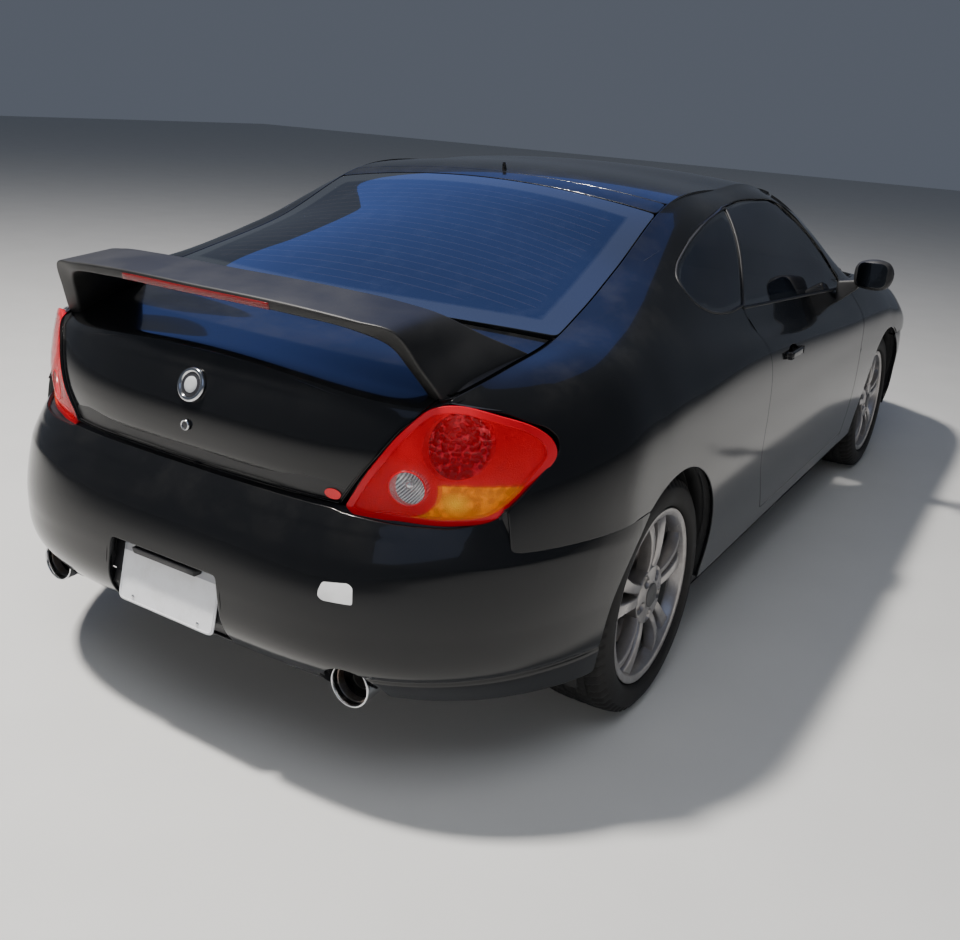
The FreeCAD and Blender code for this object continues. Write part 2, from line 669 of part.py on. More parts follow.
def make_door_glass():
    sheet = side_wall(QUARTER_STATIONS, GLASS_INSET, GLASS_INSET + GLASS_THICK)
    pane = sheet.common(side_prism(grown(WINDOW, -SHUT_GAP), 300, 1000)).common(b_line_region(3, True))
    rear_x, front_x = DOOR_REAR[-1][0] + 20, WINDOW_BOTTOM[0][0] - 10
    foot = []
    for x, lift in ((front_x, SEAT_GAP), (rear_x, SEAT_GAP), (rear_x, 14), (front_x, 14)):
        foot.append([x, line_at([WINDOW_BOTTOM[1], WINDOW_BOTTOM[0]], x) + lift])
    return pane.fuse(sheet.common(side_prism(foot, 300, 1000)))


def make_quarter_glass():
    sheet = side_wall(QUARTER_STATIONS, GLASS_INSET, GLASS_INSET + GLASS_THICK)
    pane = sheet.common(side_prism(grown(WINDOW, -SEAM_GAP), 300, 1000))
    return pane.common(b_line_region(-3 - SEAM_GAP, False))


def make_mirror(door):
    """Door mirror: a housing of three rounded sections on a short arm."""
    wires = []
    for y, x_low, x_high, z_low, z_high in MIRROR_ROWS:
        corners = [(x_low, z_low + 24), (x_low + 20, z_low), (x_high - 30, z_low + 6), (x_high, z_low + 40)]
        corners += [(x_high - 12, z_high - 36), (x_high - 44, z_high), (x_low + 24, z_high), (x_low, z_high - 24)]
        points = [vec(x, y, z) for x, z in corners]
        wires.append(Part.makePolygon(points + points[:1]))
    housing = Part.makeLoft(wires, True, False, False, 3)
    arm = side_prism(MIRROR_ARM, MIRROR_ARM_Y[0], MIRROR_ARM_Y[1])
    return whole(housing.fuse(arm).cut(door))


def make_roof():
    panel = crown_panel(ROOF_STATIONS, CENTRE_LINE, SEAM_GAP, 0, ROOF_THICK)
    panel = panel.cut(plan_arc_block(SCREEN_TOP[0], SCREEN_TOP[1], 900))
    header = crown_panel(TOP_STATIONS, CENTRE_LINE, 40, HATCH_THICK + SEAT_GAP, HATCH_THICK + 26)
    header = header.common(box([-900, -700, 1000], [-700, 700, 1400]))
    bridge = crown_panel([-848, -838, -780], CENTRE_LINE, 44, HATCH_THICK + 4, HATCH_THICK + 26)
    lug = crown_panel([-836, -826, -780], CENTRE_LINE, 44, ROOF_THICK - 4, HATCH_THICK + 26)
    stub = Part.makeCone(ANTENNA_RADIUS, ANTENNA_RADIUS * 0.6, ANTENNA_HEIGHT + 20, vec(ANTENNA_X, 0, ANTENNA_Z - 20), vec(-0.25, 0, 1))
    return panel.multiFuse([header, bridge, lug, stub])


def make_windscreen():
    panel = crown_panel(SCREEN_STATIONS, CENTRE_LINE, SEAM_GAP, 0, SCREEN_THICK)
    panel = panel.common(plan_arc_block(SCREEN_TOP[0] + SEAM_GAP, SCREEN_TOP[1] + SEAM_GAP, 1000))
    return panel.common(plan_arc_block(SCREEN_BASE[0], SCREEN_BASE[1], -200))


def make_cowl():
    """The black tray that carries the foot of the windscreen, in front of it up to the hood."""
    low = FIREWALL_TOP + SEAT_GAP
    tray = plan_arc_block(HOOD_REAR[0] - SHUT_GAP, HOOD_REAR[1] - SHUT_GAP, 300, low, 1000, COWL_HALF)
    tray = tray.cut(plan_arc_block(SCREEN_BASE[0] - COWL_LAP, SCREEN_BASE[1] - COWL_LAP, -200, 800, 1100, 800))
    pads = [box([HOOD_PAD_LOW[0], y, low], [HOOD_PAD_HIGH[0], y + HOOD_PAD_WIDTH, 980]) for y in (HOOD_PAD_LOW[1], -HOOD_PAD_LOW[1] - HOOD_PAD_WIDTH)]
    under_hood = crown_panel(HOOD_STATIONS, HOOD_ROWS, 0, -300, HOOD_THICK + SEAT_GAP)
    tray = tray.multiFuse([pad.cut(under_hood) for pad in pads])
    over = crown_panel(SCREEN_STATIONS, CENTRE_LINE, -60, -500, SCREEN_THICK + SEAM_GAP)
    tray = whole(tray.cut(over).cut(both_sides(side_wall(QUARTER_STATIONS, -2, SKIN + SEAT_GAP))))
    under_screen = crown_panel(SCREEN_STATIONS, CENTRE_LINE, -60, -SEAT_GAP, 400)
    return tray.multiFuse([make_wiper(pivot_y, under_screen) for pivot_y in WIPER_PIVOTS])


def screen_point(y, back):
    """A point on the windscreen, a distance behind its lower edge."""
    x = SCREEN_BASE[0] - (SCREEN_BASE[0] - SCREEN_BASE[1]) * (y / 760.0) ** 2 - back
    y_edge, z_edge = outer_points(x)[-1]
    return vec(x, y, arc_height(line_at(CENTRE_LINE, x), y_edge, z_edge, y))


def make_wiper(pivot_y, under_screen):
    """A wiper: its pivot on the tray, the arm and the blade that lies along the foot of the screen."""
    foot = screen_point(pivot_y, -WIPER_PIVOT_AHEAD)
    pivot = Part.makeCylinder(WIPER_PIVOT_RADIUS, 60, foot + vec(0, 0, WIPER_PIVOT_HIGH - 60), vec(0, 0, 1))
    bars = []
    for (y_start, back_start), (y_stop, back_stop), half, low, high in (
        ((0, -WIPER_PIVOT_AHEAD), (-300, WIPER_BACK), 6, 8, 14),
        ((-40, WIPER_BACK - 10), (-300, WIPER_BACK), 4, -10, 9),
        ((-300, WIPER_BACK), (-560, WIPER_BACK + 6), 4, -10, 9),
    ):
        loops = []
        for offset, back in ((y_start, back_start), (y_stop, back_stop)):
            middle = screen_point(pivot_y + offset, back) + vec(0, 0, (low + high) / 2)
            points = [middle + vec(sx * half, 0, sz * (high - low) / 2) for sx, sz in ((-1, -1), (1, -1), (1, 1), (-1, 1))]
            loops.append(Part.makePolygon(points + points[:1]))
        bar = Part.makeLoft(loops, True, True)
        bars.append(bar if low > 0 else whole(bar.cut(under_screen)))
    return pivot.multiFuse(bars)


def make_hood():
    panel = crown_panel(HOOD_STATIONS, HOOD_ROWS, SHUT_GAP, 0, HOOD_THICK)
    panel = panel.common(plan_arc_block(HOOD_REAR[0], HOOD_REAR[1], 2500))
    return panel.common(plan_arc_block(HOOD_FRONT[0], HOOD_FRONT[1], 300))


def make_hatch():
    tops = crown_panel(TOP_STATIONS, CENTRE_LINE, SHUT_GAP, 0, HATCH_THICK)
    inner_levels = [[z, end_x + LID_LAP, half - LID_LAP] for z, end_x, half in TAIL_LEVELS]
    tail = end_block(REAR_CENTRE, inner_levels, TAIL_FORM, -1500)
    tail = tail.fuse(box([-1500.5, -870, 600], [-700, 870, 1400]))
    top = tops.common(tail)
    wall = end_ring(REAR_CENTRE, TAIL_LEVELS, TAIL_FORM, -1600, LID_THICK)
    over = above_crown(TOP_STATIONS, CENTRE_LINE, LID_LAP)
    outline = LID_OUTLINE + [[-y, z] for y, z in LID_OUTLINE[::-1]]
    wall = wall.common(end_prism(outline, -2300, -1700)).cut(over)
    hatch = top.fuse(wall)
    for sign in (1, -1):
        lamp = end_prism([[sign * y, z] for y, z in grown(LAMP_OUTLINE, SHUT_GAP)], -2200, -1850)
        hatch = hatch.cut(lamp)
    hatch = whole(hatch)
    glass_bed = crown_panel(TOP_STATIONS, CENTRE_LINE, -20, -50, GLASS_THICK + SEAM_GAP).common(glass_plan(SEAM_GAP))
    opening = crown_panel(TOP_STATIONS, CENTRE_LINE, 80, -50, HATCH_THICK + 50).common(glass_plan(-70))
    return whole(hatch.cut(glass_bed).cut(opening))


def glass_plan(grow):
    """The rear glass seen from above: straight in front, an arc behind."""
    front = GLASS_FRONT_X + grow
    block = plan_arc_block(GLASS_REAR_X[0] - grow, GLASS_REAR_X[1] - grow, front, 800, 1500)
    return block


def make_rear_glass():
    sheet = crown_panel(TOP_STATIONS, CENTRE_LINE, SHUT_GAP, 0, GLASS_THICK)
    return sheet.common(glass_plan(0))


def make_rear_bumper():
    ring = end_ring(REAR_CENTRE, REAR_BUMPER_LEVELS, REAR_BUMPER_FORM, REAR_BUMPER_START, BUMPER_THICK)
    half = PLATE_WIDTH / 2 + 40
    backing = plate_frame(box([SEAT_GAP, -half, -96], [10, half, 96]))
    pocket = plate_frame(end_prism([
        [-half + 22, PLATE_HEIGHT / 2 + 8], [half - 22, PLATE_HEIGHT / 2 + 8],
        [half, -PLATE_HEIGHT / 2 - 60], [-half, -PLATE_HEIGHT / 2 - 60],
    ], -60, SEAT_GAP))
    inside = end_block(REAR_CENTRE, REAR_BUMPER_LEVELS, REAR_BUMPER_FORM, REAR_BUMPER_START)
    ring = ring.fuse(backing.common(inside))
    cuts = [
        cylinder_y(ARCH_RADIUS, REAR_AXLE, -1000, 1000, TYRE_RADIUS),
        box([LAMP_SEAM_X - SEAM_GAP, -1000, QUARTER_BOTTOM - SEAM_GAP], [-1000, 1000, 1000]),
        pocket,
        end_prism([[-TIP_Y, 0], [TIP_Y, 0], [TIP_Y - 70, VALANCE_TOP], [70 - TIP_Y, VALANCE_TOP]], -2300, -1900),
    ]
    for sign in (1, -1):
        cuts.append(Part.makeCylinder(TIP_CUT_RADIUS, 400, vec(TIP_X - 200, sign * TIP_Y, TIP_Z - 6), vec(1, 0, 0)))
        cuts.append(end_prism([[sign * y, z] for y, z in grown(LAMP_OUTLINE, SEAM_GAP)], -2200, -1700))
    return ring.cut(cuts[0].multiFuse(cuts[1:]))


def plate_frame(shape):
    """Turns a shape drawn about the plate's middle into the plate's place and tilt."""
    shape.rotate(vec(0, 0, 0), vec(0, 1, 0), PLATE_TILT)
    shape.translate(vec(PLATE_X, 0, PLATE_Z))
    return shape


def make_plate():
    half_y, half_z = PLATE_WIDTH / 2, PLATE_HEIGHT / 2
    return plate_frame(box([-PLATE_THICK, -half_y, -half_z], [0, half_y, half_z]))


def make_valance():
    """The black strip under the rear bumper, between the exhaust tips."""
    ring = end_ring(REAR_CENTRE, VALANCE_LEVELS, REAR_BUMPER_FORM, -1630, BUMPER_THICK)
    return ring.common(box([-2300, -VALANCE_HALF, 0], [-1900, VALANCE_HALF, VALANCE_TOP - SEAM_GAP]))


def make_tail_lamp():
    ring = end_ring(REAR_CENTRE, TAIL_LEVELS, TAIL_FORM, -1400, LAMP_DEPTH)
    lamp = ring.common(end_prism(LAMP_OUTLINE, -2300, -1650))
    for radius, x, y, z, out_x, out_y in LAMP_ROUNDS:
        outward = vec(out_x, out_y, 0)
        outward.normalize()
        place = vec(x, y, z)
        lens = Part.makeCylinder(radius, 20 + LENS_PROUD, place - outward * 20, outward)
        groove = Part.makeCylinder(radius + LENS_GROOVE, 20, place - outward * LENS_GROOVE, outward)
        lamp = lamp.cut(groove).fuse(lens)
    return whole(lamp)


def hood_zone():
    """The hood with its shut gap, and all that is above it."""
    zone = crown_panel(HOOD_STATIONS, HOOD_ROWS, 0, -300, HOOD_THICK + SHUT_GAP)
    return zone.common(plan_arc_block(HOOD_FRONT[0] + SHUT_GAP, HOOD_FRONT[1] + SHUT_GAP, 300))


def make_headlamp():
    ring = end_ring(FRONT_CENTRE, NOSE_LEVELS, NOSE_FORM, 1400, LAMP_DEPTH)
    return ring.common(end_prism(HEADLAMP_OUTLINE, 1500, 2300)).cut(hood_zone())


def make_front_bumper():
    ring = end_ring(FRONT_CENTRE, NOSE_LEVELS, NOSE_FORM, FRONT_BUMPER_START, BUMPER_THICK)
    cuts = [
        cylinder_y(ARCH_RADIUS, FRONT_AXLE, -1000, 1000, TYRE_RADIUS),
        box([1000, -1000, BUMPER_TOP - SEAM_GAP], [NOSE_SEAM_X + SEAM_GAP, 1000, 1000]),
        end_prism(INTAKE, 1900, 2400),
        end_prism(UPPER_GRILLE, 1900, 2400),
        hood_zone(),
    ]
    for sign in (1, -1):
        cuts.append(end_prism([[sign * y, z] for y, z in grown(HEADLAMP_OUTLINE, SEAM_GAP)], 1500, 2300))
        cuts.append(Part.makeCylinder(FOG_RADIUS, 600, vec(1700, sign * FOG_Y, FOG_Z), vec(1, 0, 0)))
    return whole(ring.cut(cuts[0].multiFuse(cuts[1:])))


def make_grille():
    """Bars across both openings of the nose, set back from its face, and the lamps below them."""
    ring = end_ring(FRONT_CENTRE, GRILLE_LEVELS, NOSE_FORM, 1520, GRILLE_DEPTH)
    bars = []
    for outline, count in ((INTAKE, 4), (UPPER_GRILLE, 1)):
        low, high = outline[0][1], outline[2][1]
        pitch = (high - low) / (count + 1)
        opening = end_prism(grown(outline, -SEAM_GAP), 1900, 2400)
        shape = opening.cut(end_prism(grown(outline, -BAR_THICK), 1900, 2400))
        for i in range(count):
            z = low + pitch * (i + 1)
            bar = box([1901, -450, z - BAR_THICK / 2], [2399, 450, z + BAR_THICK / 2])
            shape = shape.fuse(bar.common(opening))
        bars.append(ring.common(shape))
    for sign in (1, -1):
        lamp = Part.makeCylinder(FOG_RADIUS - SEAM_GAP, 600, vec(1700, sign * FOG_Y, FOG_Z), vec(1, 0, 0))
        bars.append(ring.common(lamp))
    return Part.Compound(bars)


def make_wing():
    """The wing over the hatch: a blade on two swept legs."""
    wires = []
    rows = [[-r[0]] + r[1:] for r in WING_ROWS[:0:-1]] + WING_ROWS
    for y, x_rear, z_rear, x_front, z_front in rows:
        points = [vec(x_rear, y, z_rear), vec(x_rear + 40, y, z_rear + 9), vec(x_front - 30, y, z_front + 2), vec(x_front, y, z_front - 8)]
        points += [vec(x_front - 20, y, z_front - 18), vec(x_rear + 30, y, z_rear - WING_THICK), vec(x_rear + 4, y, z_rear - WING_THICK)]
        wires.append(Part.makePolygon(points + points[:1]))
    blade = Part.makeLoft(wires, True, False, False, 3)
    leg = facets_solid([vec(*corner) for corner in WING_LEG], WING_LEG_FACES)
    wing = blade.multiFuse([leg, mirrored(leg)])
    under = crown_panel(TOP_STATIONS, CENTRE_LINE, -60, -SEAT_GAP, 400)
    strip = box([-2300, -BRAKE_STRIP_HALF - SEAM_GAP, 0], [-2092, BRAKE_STRIP_HALF + SEAM_GAP, 1078])
    return whole(wing.cut(under).cut(strip))


def make_brake_strip():
    wires = []
    for y in (-BRAKE_STRIP_HALF, 0, BRAKE_STRIP_HALF):
        x_rear = line_at(WING_ROWS, abs(y), 1)
        z_rear = line_at(WING_ROWS, abs(y), 2)
        points = [vec(x_rear + 5, y, z_rear - WING_THICK + 2), vec(-2092 - SEAM_GAP, y, z_rear - WING_THICK + 2)]
        points += [vec(-2092 - SEAM_GAP, y, 1078 - SEAM_GAP), vec(x_rear + 3, y, 1078 - SEAM_GAP)]
        wires.append(Part.makePolygon(points + points[:1]))
    return Part.makeLoft(wires, True, True)


def make_badge(hatch):
    """A plain disc on the lid and the lock under it."""
    disc = Part.makeCylinder(BADGE_RADIUS, 26, vec(BADGE_X + 20, 0, BADGE_Z - 7), vec(-1, 0, 0.35))
    lock = Part.makeCylinder(LOCK_RADIUS, 24, vec(LOCK_X + 20, 0, LOCK_Z), vec(-1, 0, 0))
    return Part.Compound([max(piece.cut(hatch).Solids, key=lambda solid: -solid.CenterOfMass.x) for piece in (disc, lock)])


def revolved_y(profile, x, y, z):
    """A ring turned about a line across the car from radius, y points."""
    points = [vec(r, py, 0) for r, py in profile]
    face = Part.Face(Part.makePolygon(points + points[:1]))
    ring = face.revolve(vec(0, 0, 0), vec(0, 1, 0), 360)
    ring.translate(vec(x, y, z))
    return ring


def make_tyre(x):
    half = TYRE_WIDTH / 2
    seat = RIM_DIAMETER / 2 + TYRE_SEAT_GAP
    profile = [
        [seat, -RIM_WIDTH / 2 + 6], [seat + 18, -RIM_WIDTH / 2 + 3], [seat + 21, -half + 6], [seat + 46, -half], [TYRE_RADIUS - 26, -half + 5],
        [TYRE_RADIUS - 5, -half + 20], [TYRE_RADIUS, -half + 44], [TYRE_RADIUS, half - 44], [TYRE_RADIUS - 5, half - 20],
        [TYRE_RADIUS - 26, half - 5], [seat + 46, half], [seat + 21, half - 6], [seat + 18, RIM_WIDTH / 2 - 12],
        [seat, RIM_WIDTH / 2 - 15],
    ]
    return revolved_y(profile, x, TRACK / 2, TYRE_RADIUS)


def make_rim(x):
    """Left wheel: a barrel with lips, a hub and paired spokes."""
    bead = RIM_DIAMETER / 2
    half = RIM_WIDTH / 2
    barrel = revolved_y([
        [bead, -half + 6], [bead + RIM_LIP, -half], [bead + RIM_LIP, -half - 5], [bead - 6, -half - 5],
        [bead - 22, -half + 30], [bead - 22, half - 50], [bead - 8, half + 2], [bead + RIM_LIP, half + 2],
        [bead + RIM_LIP, half - 3], [bead, half - 9], [bead - 10, half - 44], [bead - 10, -half + 30],
    ], 0, 0, 0)
    hub = Part.makeCylinder(HUB_RADIUS, HUB_THICK, vec(0, HUB_FACE_Y, 0), vec(0, 1, 0))
    spokes = []
    for i in range(SPOKE_COUNT):
        for side in (-1, 1):
            spoke = Part.makeLoft([
                spoke_section(HUB_RADIUS - 24, side * 15, SPOKE_WIDTH * 0.9, HUB_FACE_Y + 6, HUB_FACE_Y + HUB_THICK - 4),
                spoke_section(bead * 0.62, side * 22, SPOKE_WIDTH * 0.8, HUB_FACE_Y + 14, HUB_FACE_Y + HUB_THICK + 4),
                spoke_section(bead - 12, side * 36, SPOKE_WIDTH, half - 46, half - 4),
            ], True, False, False, 3)
            spoke.rotate(vec(0, 0, 0), vec(0, 1, 0), 360.0 / SPOKE_COUNT * i + SPOKE_START)
            spokes.append(spoke)
    wheel = barrel.multiFuse([hub] + spokes)
    bores = [Part.makeCylinder(STUB_RADIUS + STUB_CLEARANCE, 200, vec(0, -100, 0), vec(0, 1, 0))]
    for i in range(LUG_COUNT):
        angle = math.radians(360.0 / LUG_COUNT * (i + 0.5) + SPOKE_START)
        px, pz = LUG_CIRCLE / 2 * math.cos(angle), LUG_CIRCLE / 2 * math.sin(angle)
        bores.append(Part.makeCylinder(LUG_POCKET_RADIUS, 60, vec(px, HUB_FACE_Y + 16, pz), vec(0, 1, 0)))
        bores.append(Part.makeCylinder(LUG_RADIUS, 60, vec(px, HUB_FACE_Y - 20, pz), vec(0, 1, 0)))
    wheel = wheel.cut(bores[0].multiFuse(bores[1:]))
    cap = Part.makeCylinder(STUB_RADIUS + 8, 6, vec(0, HUB_FACE_Y + HUB_THICK - 3, 0), vec(0, 1, 0))
    wheel = wheel.fuse(cap)
    wheel.translate(vec(x, TRACK / 2, TYRE_RADIUS))
    return wheel


def spoke_section(radius, offset, width, y_low, y_high):
    """A cross-section of a spoke, with a narrower outer face."""
    points = [
        vec(offset - width / 2, y_low, radius), vec(offset + width / 2, y_low, radius),
        vec(offset + width * 0.42, y_high - 8, radius), vec(offset + width * 0.24, y_high, radius),
        vec(offset - width * 0.24, y_high, radius), vec(offset - width * 0.42, y_high - 8, radius),
    ]
    return Part.makePolygon(points + points[:1])


def make_disc(x):
    """Brake disc with its hat, up to the back of the hub."""
    ring = revolved_y([
        [STUB_RADIUS + STUB_CLEARANCE, HUB_FACE_Y - 8], [STUB_RADIUS + STUB_CLEARANCE, HUB_FACE_Y - SEAT_GAP],
        [HUB_RADIUS - 6, HUB_FACE_Y - SEAT_GAP], [HUB_RADIUS, DISC_Y + DISC_THICK], [DISC_RADIUS, DISC_Y + DISC_THICK],
        [DISC_RADIUS, DISC_Y], [HUB_RADIUS - 8, DISC_Y], [HUB_RADIUS - 14, HUB_FACE_Y - 8],
    ], x, TRACK / 2, TYRE_RADIUS)
    return ring


def stub_y(low, high, x, radius):
    return cylinder_y(radius, x, TRACK / 2 + low, TRACK / 2 + high, TYRE_RADIUS)


def make_knuckle(x, caliper_side):
    """The upright with its stub axle and brake caliper."""
    stub = stub_y(KNUCKLE_OUT, HUB_FACE_Y + HUB_THICK - 5, x, STUB_RADIUS)
    boss = stub_y(KNUCKLE_IN, KNUCKLE_OUT, x, 52)
    post = box([x - 26, TRACK / 2 + KNUCKLE_IN, TYRE_RADIUS - UPRIGHT_HALF],
               [x + 26, TRACK / 2 + KNUCKLE_IN + 26, TYRE_RADIUS + UPRIGHT_HALF])
    cx = x + caliper_side * (DISC_RADIUS - 14)
    outer = box([cx - 34, TRACK / 2 + KNUCKLE_IN, TYRE_RADIUS - 50], [cx + 34, TRACK / 2 + DISC_Y + DISC_THICK + 22, TYRE_RADIUS + 50])
    slot = revolved_y([[0, DISC_Y - 2], [DISC_RADIUS + 3, DISC_Y - 2], [DISC_RADIUS + 3, DISC_Y + DISC_THICK + 2], [0, DISC_Y + DISC_THICK + 2]],
                      x, TRACK / 2, TYRE_RADIUS)
    hat = stub_y(DISC_Y, HUB_FACE_Y, x, HUB_RADIUS + 3)
    arm = box([min(x, cx), TRACK / 2 + KNUCKLE_IN, TYRE_RADIUS - 16], [max(x, cx), TRACK / 2 + KNUCKLE_IN + 20, TYRE_RADIUS + 16])
    caliper = outer.cut(slot).cut(hat)
    return stub.multiFuse([boss, post, caliper, arm])


def make_front_suspension():
    """Crossmember with the two lower arms, and the struts up in the wheel housings."""
    beam = box([FRONT_AXLE - 150, -BEAM_HALF, BEAM_LOW], [FRONT_AXLE + 60, BEAM_HALF, BEAM_TOP])
    arms = []
    for y, x_low, x_high, z_low, z_high in (
        (BEAM_HALF, FRONT_AXLE - 120, FRONT_AXLE + 40, BEAM_LOW + 6, BEAM_TOP - 10),
        (KINGPIN_Y + 14, FRONT_AXLE - 20, FRONT_AXLE + 20, BALL_LOW - 14, BALL_LOW + 4),
    ):
        corners = [vec(x_low, y, z_low), vec(x_high, y, z_low), vec(x_high, y, z_high), vec(x_low, y, z_high)]
        arms.append(Part.makePolygon(corners + corners[:1]))
    arm = Part.makeLoft(arms, True, True)
    ball_top = TYRE_RADIUS - UPRIGHT_HALF - SEAT_GAP
    ball = Part.makeCylinder(BALL_RADIUS, ball_top - BALL_LOW, vec(FRONT_AXLE, KINGPIN_Y, BALL_LOW), vec(0, 0, 1))
    arm = arm.fuse(ball)
    rod = Part.makeCylinder(STRUT_RADIUS, 400, vec(FRONT_AXLE, STRUT_Y, STRUT_LOW), vec(0, 0, 1))
    spring = Part.makeCylinder(SPRING_RADIUS, 400, vec(FRONT_AXLE, STRUT_Y, SPRING_LOW), vec(0, 0, 1))
    strut = rod.fuse(spring).common(cylinder_y(ARCH_RADIUS - SEAT_GAP, FRONT_AXLE, 400, 800, TYRE_RADIUS))
    legs = []
    for low, high in ((BEAM_LEG_Y[0], BEAM_LEG_Y[1]), (-BEAM_LEG_Y[1], -BEAM_LEG_Y[0])):
        legs.append(box([FRONT_AXLE - 150, low, BEAM_LOW], [FRONT_AXLE - 60, high, RAIL_Z[0] - SEAT_GAP]))
    return Part.Compound([beam.multiFuse([arm, mirrored(arm)] + legs), strut, mirrored(strut)])


def tunnel(extra):
    """The tunnel along the floor, or the room it takes in what stands across it."""
    return box([RISER_X - extra, -TUNNEL_HALF - extra, FLOOR_LOW], [FIREWALL_X + extra, TUNNEL_HALF + extra, TUNNEL_TOP + extra])


def make_floor():
    """Cabin floor with the tunnel pressed up along its middle."""
    plate = box([RISER_X, -FLOOR_HALF, FLOOR_LOW], [FIREWALL_X, FLOOR_HALF, FLOOR_TOP])
    hollow_half = TUNNEL_HALF - WALL
    hollow = box([RISER_X - 1, -hollow_half, 0], [FIREWALL_X + 1, hollow_half, TUNNEL_TOP - WALL])
    return whole(plate.fuse(tunnel(0)).cut(hollow).cut(housing_rooms()))


def make_cargo_floor():
    """The step up behind the cabin floor, the cargo floor and the wall behind the bumper."""
    low = CARGO_TOP - WALL
    riser = box([RISER_X, -FLOOR_HALF, FLOOR_TOP + SEAT_GAP], [RISER_X + WALL, FLOOR_HALF, CARGO_TOP])
    plate = box([REAR_WALL_X, -CARGO_HALF, low], [RISER_X + WALL, CARGO_HALF, CARGO_TOP])
    wall = box([REAR_WALL_X, -CARGO_HALF, low], [REAR_WALL_X + WALL, CARGO_HALF, REAR_WALL_TOP])
    return whole(plate.multiFuse([riser, wall]).cut(tunnel(SEAT_GAP)).cut(housing_rooms()))


def make_front_frame():
    """The firewall on the end of the floor, and the two rails with the bar across the nose."""
    firewall = box([FIREWALL_X - WALL, -COWL_HALF, FLOOR_TOP + SEAT_GAP], [FIREWALL_X, COWL_HALF, FIREWALL_TOP])
    firewall = whole(firewall.cut(tunnel(SEAT_GAP)).cut(housing_rooms()))
    bar_x, bar_z = NOSE_BAR_LOW
    rails = [box([bar_x, -NOSE_BAR_HALF, bar_z], [bar_x + NOSE_BAR_DEPTH, NOSE_BAR_HALF, bar_z + NOSE_BAR_HEIGHT])]
    for low, high in ((RAIL_Y[0], RAIL_Y[1]), (-RAIL_Y[1], -RAIL_Y[0])):
        rails.append(box([FIREWALL_X + SEAT_GAP, low, RAIL_Z[0]], [bar_x + NOSE_BAR_DEPTH, high, RAIL_Z[1]]))
        rails.append(box([bar_x, low, RAIL_Z[0]], [bar_x + NOSE_BAR_DEPTH, high, bar_z + 10]))
    return Part.Compound([firewall, rails[0].multiFuse(rails[1:])])


def make_wheel_housings():
    """Housings over the four wheels, open at the outside and where the axle or the arms pass."""
    housings = []
    for x, y_inner, hole_top in HOUSINGS:
        outer = wheel_housing(x, y_inner, 1, ARCH_RADIUS + LINER_THICK, 0)
        inner = wheel_housing(x, y_inner + LINER_THICK, 1, ARCH_RADIUS, 20)
        hole = box([x - LINK_HOLE, y_inner - 20, 0], [x + LINK_HOLE, y_inner + 20, hole_top])
        below = box([x - 500, 0, -100], [x + 500, 1000, FLOOR_LOW])
        housing = whole(outer.cut(inner.multiFuse([hole, below])))
        housings += [housing, mirrored(housing)]
    return Part.Compound(housings)


def housing_rooms():
    """The room of all four wheel housings, to cut from what stands round them."""
    rooms = []
    for x, y_inner, hole_top in HOUSINGS:
        for sign in (1, -1):
            rooms.append(wheel_housing(x, y_inner - SEAT_GAP, sign, ARCH_RADIUS + LINER_THICK + SEAT_GAP, 20))
    return rooms[0].multiFuse(rooms[1:])


def wheel_housing(x, y_inner, sign, radius, extra):
    low, high = sorted((sign * y_inner, sign * (HOUSING_OUT + extra)))
    return cylinder_y(radius, x, low, high, TYRE_RADIUS)


def make_engine():
    """Engine as one plain block, and the radiator behind the grille."""
    return Part.Compound([box(ENGINE_LOW, ENGINE_HIGH), box(RADIATOR_LOW, RADIATOR_HIGH)])


def make_tank():
    block = box(TANK_LOW, TANK_HIGH)
    return block.makeFillet(30, [e for e in block.Edges if abs(e.Length - (TANK_HIGH[2] - TANK_LOW[2])) < 1])


def make_exhaust():
    """Pipe down the tunnel, cross silencer and two tips."""
    silencer = Part.makeCylinder(SILENCER_RADIUS, 2 * TIP_Y + 130, vec(SILENCER_X, -TIP_Y - 65, SILENCER_Z), vec(0, 1, 0))
    route = [vec(ENGINE_LOW[0] - SEAT_GAP, 0, 250), vec(-900, 0, 250), vec(-1000, 0, 200), vec(-1600, 0, 200), vec(SILENCER_X, 0, SILENCER_Z)]
    pipe = tube(route, PIPE_RADIUS)
    pieces = [pipe]
    holes = []
    for sign in (1, -1):
        start = vec(TIP_X, sign * TIP_Y, TIP_Z)
        pieces.append(Part.makeCylinder(TIP_RADIUS, SILENCER_X - TIP_X, start, vec(1, 0, 0)))
        holes.append(Part.makeCylinder(TIP_RADIUS - TIP_WALL, TIP_LENGTH, start - vec(1, 0, 0), vec(1, 0, 0)))
    return silencer.multiFuse(pieces).cut(holes[0].fuse(holes[1]))


def make_front_seats():
    """Two seats: a plinth on the floor, a cushion, a leaning back and a headrest on two posts."""
    seats = []
    for sign in (1, -1):
        y = sign * SEAT_Y
        plinth = box([-300, y - 190, FLOOR_TOP + SEAT_GAP], [160, y + 190, 340])
        cushion = seat_loft(CUSHION_ROWS, y, vec(0, 0, 1))
        back = seat_loft(BACK_ROWS, y, vec(1, 0, 0))
        head = seat_loft(HEADREST_ROWS, y, vec(1, 0, 0))
        posts = [Part.makeCylinder(7, 90, vec(-497, y + side * 60, 930), vec(0, 0, 1)) for side in (-1, 1)]
        seats.append(plinth.multiFuse([cushion, back, head] + posts))
    return Part.Compound(seats)


def seat_loft(rows, y, across):
    """A cushion lofted through rounded sections. Columns: x, z, half width, half thickness, corner radius."""
    loops = [rounded_loop(vec(x, y, z), half, thick, radius, vec(0, 1, 0), across) for x, z, half, thick, radius in rows]
    return Part.makeLoft(loops, True, False, False, 3)


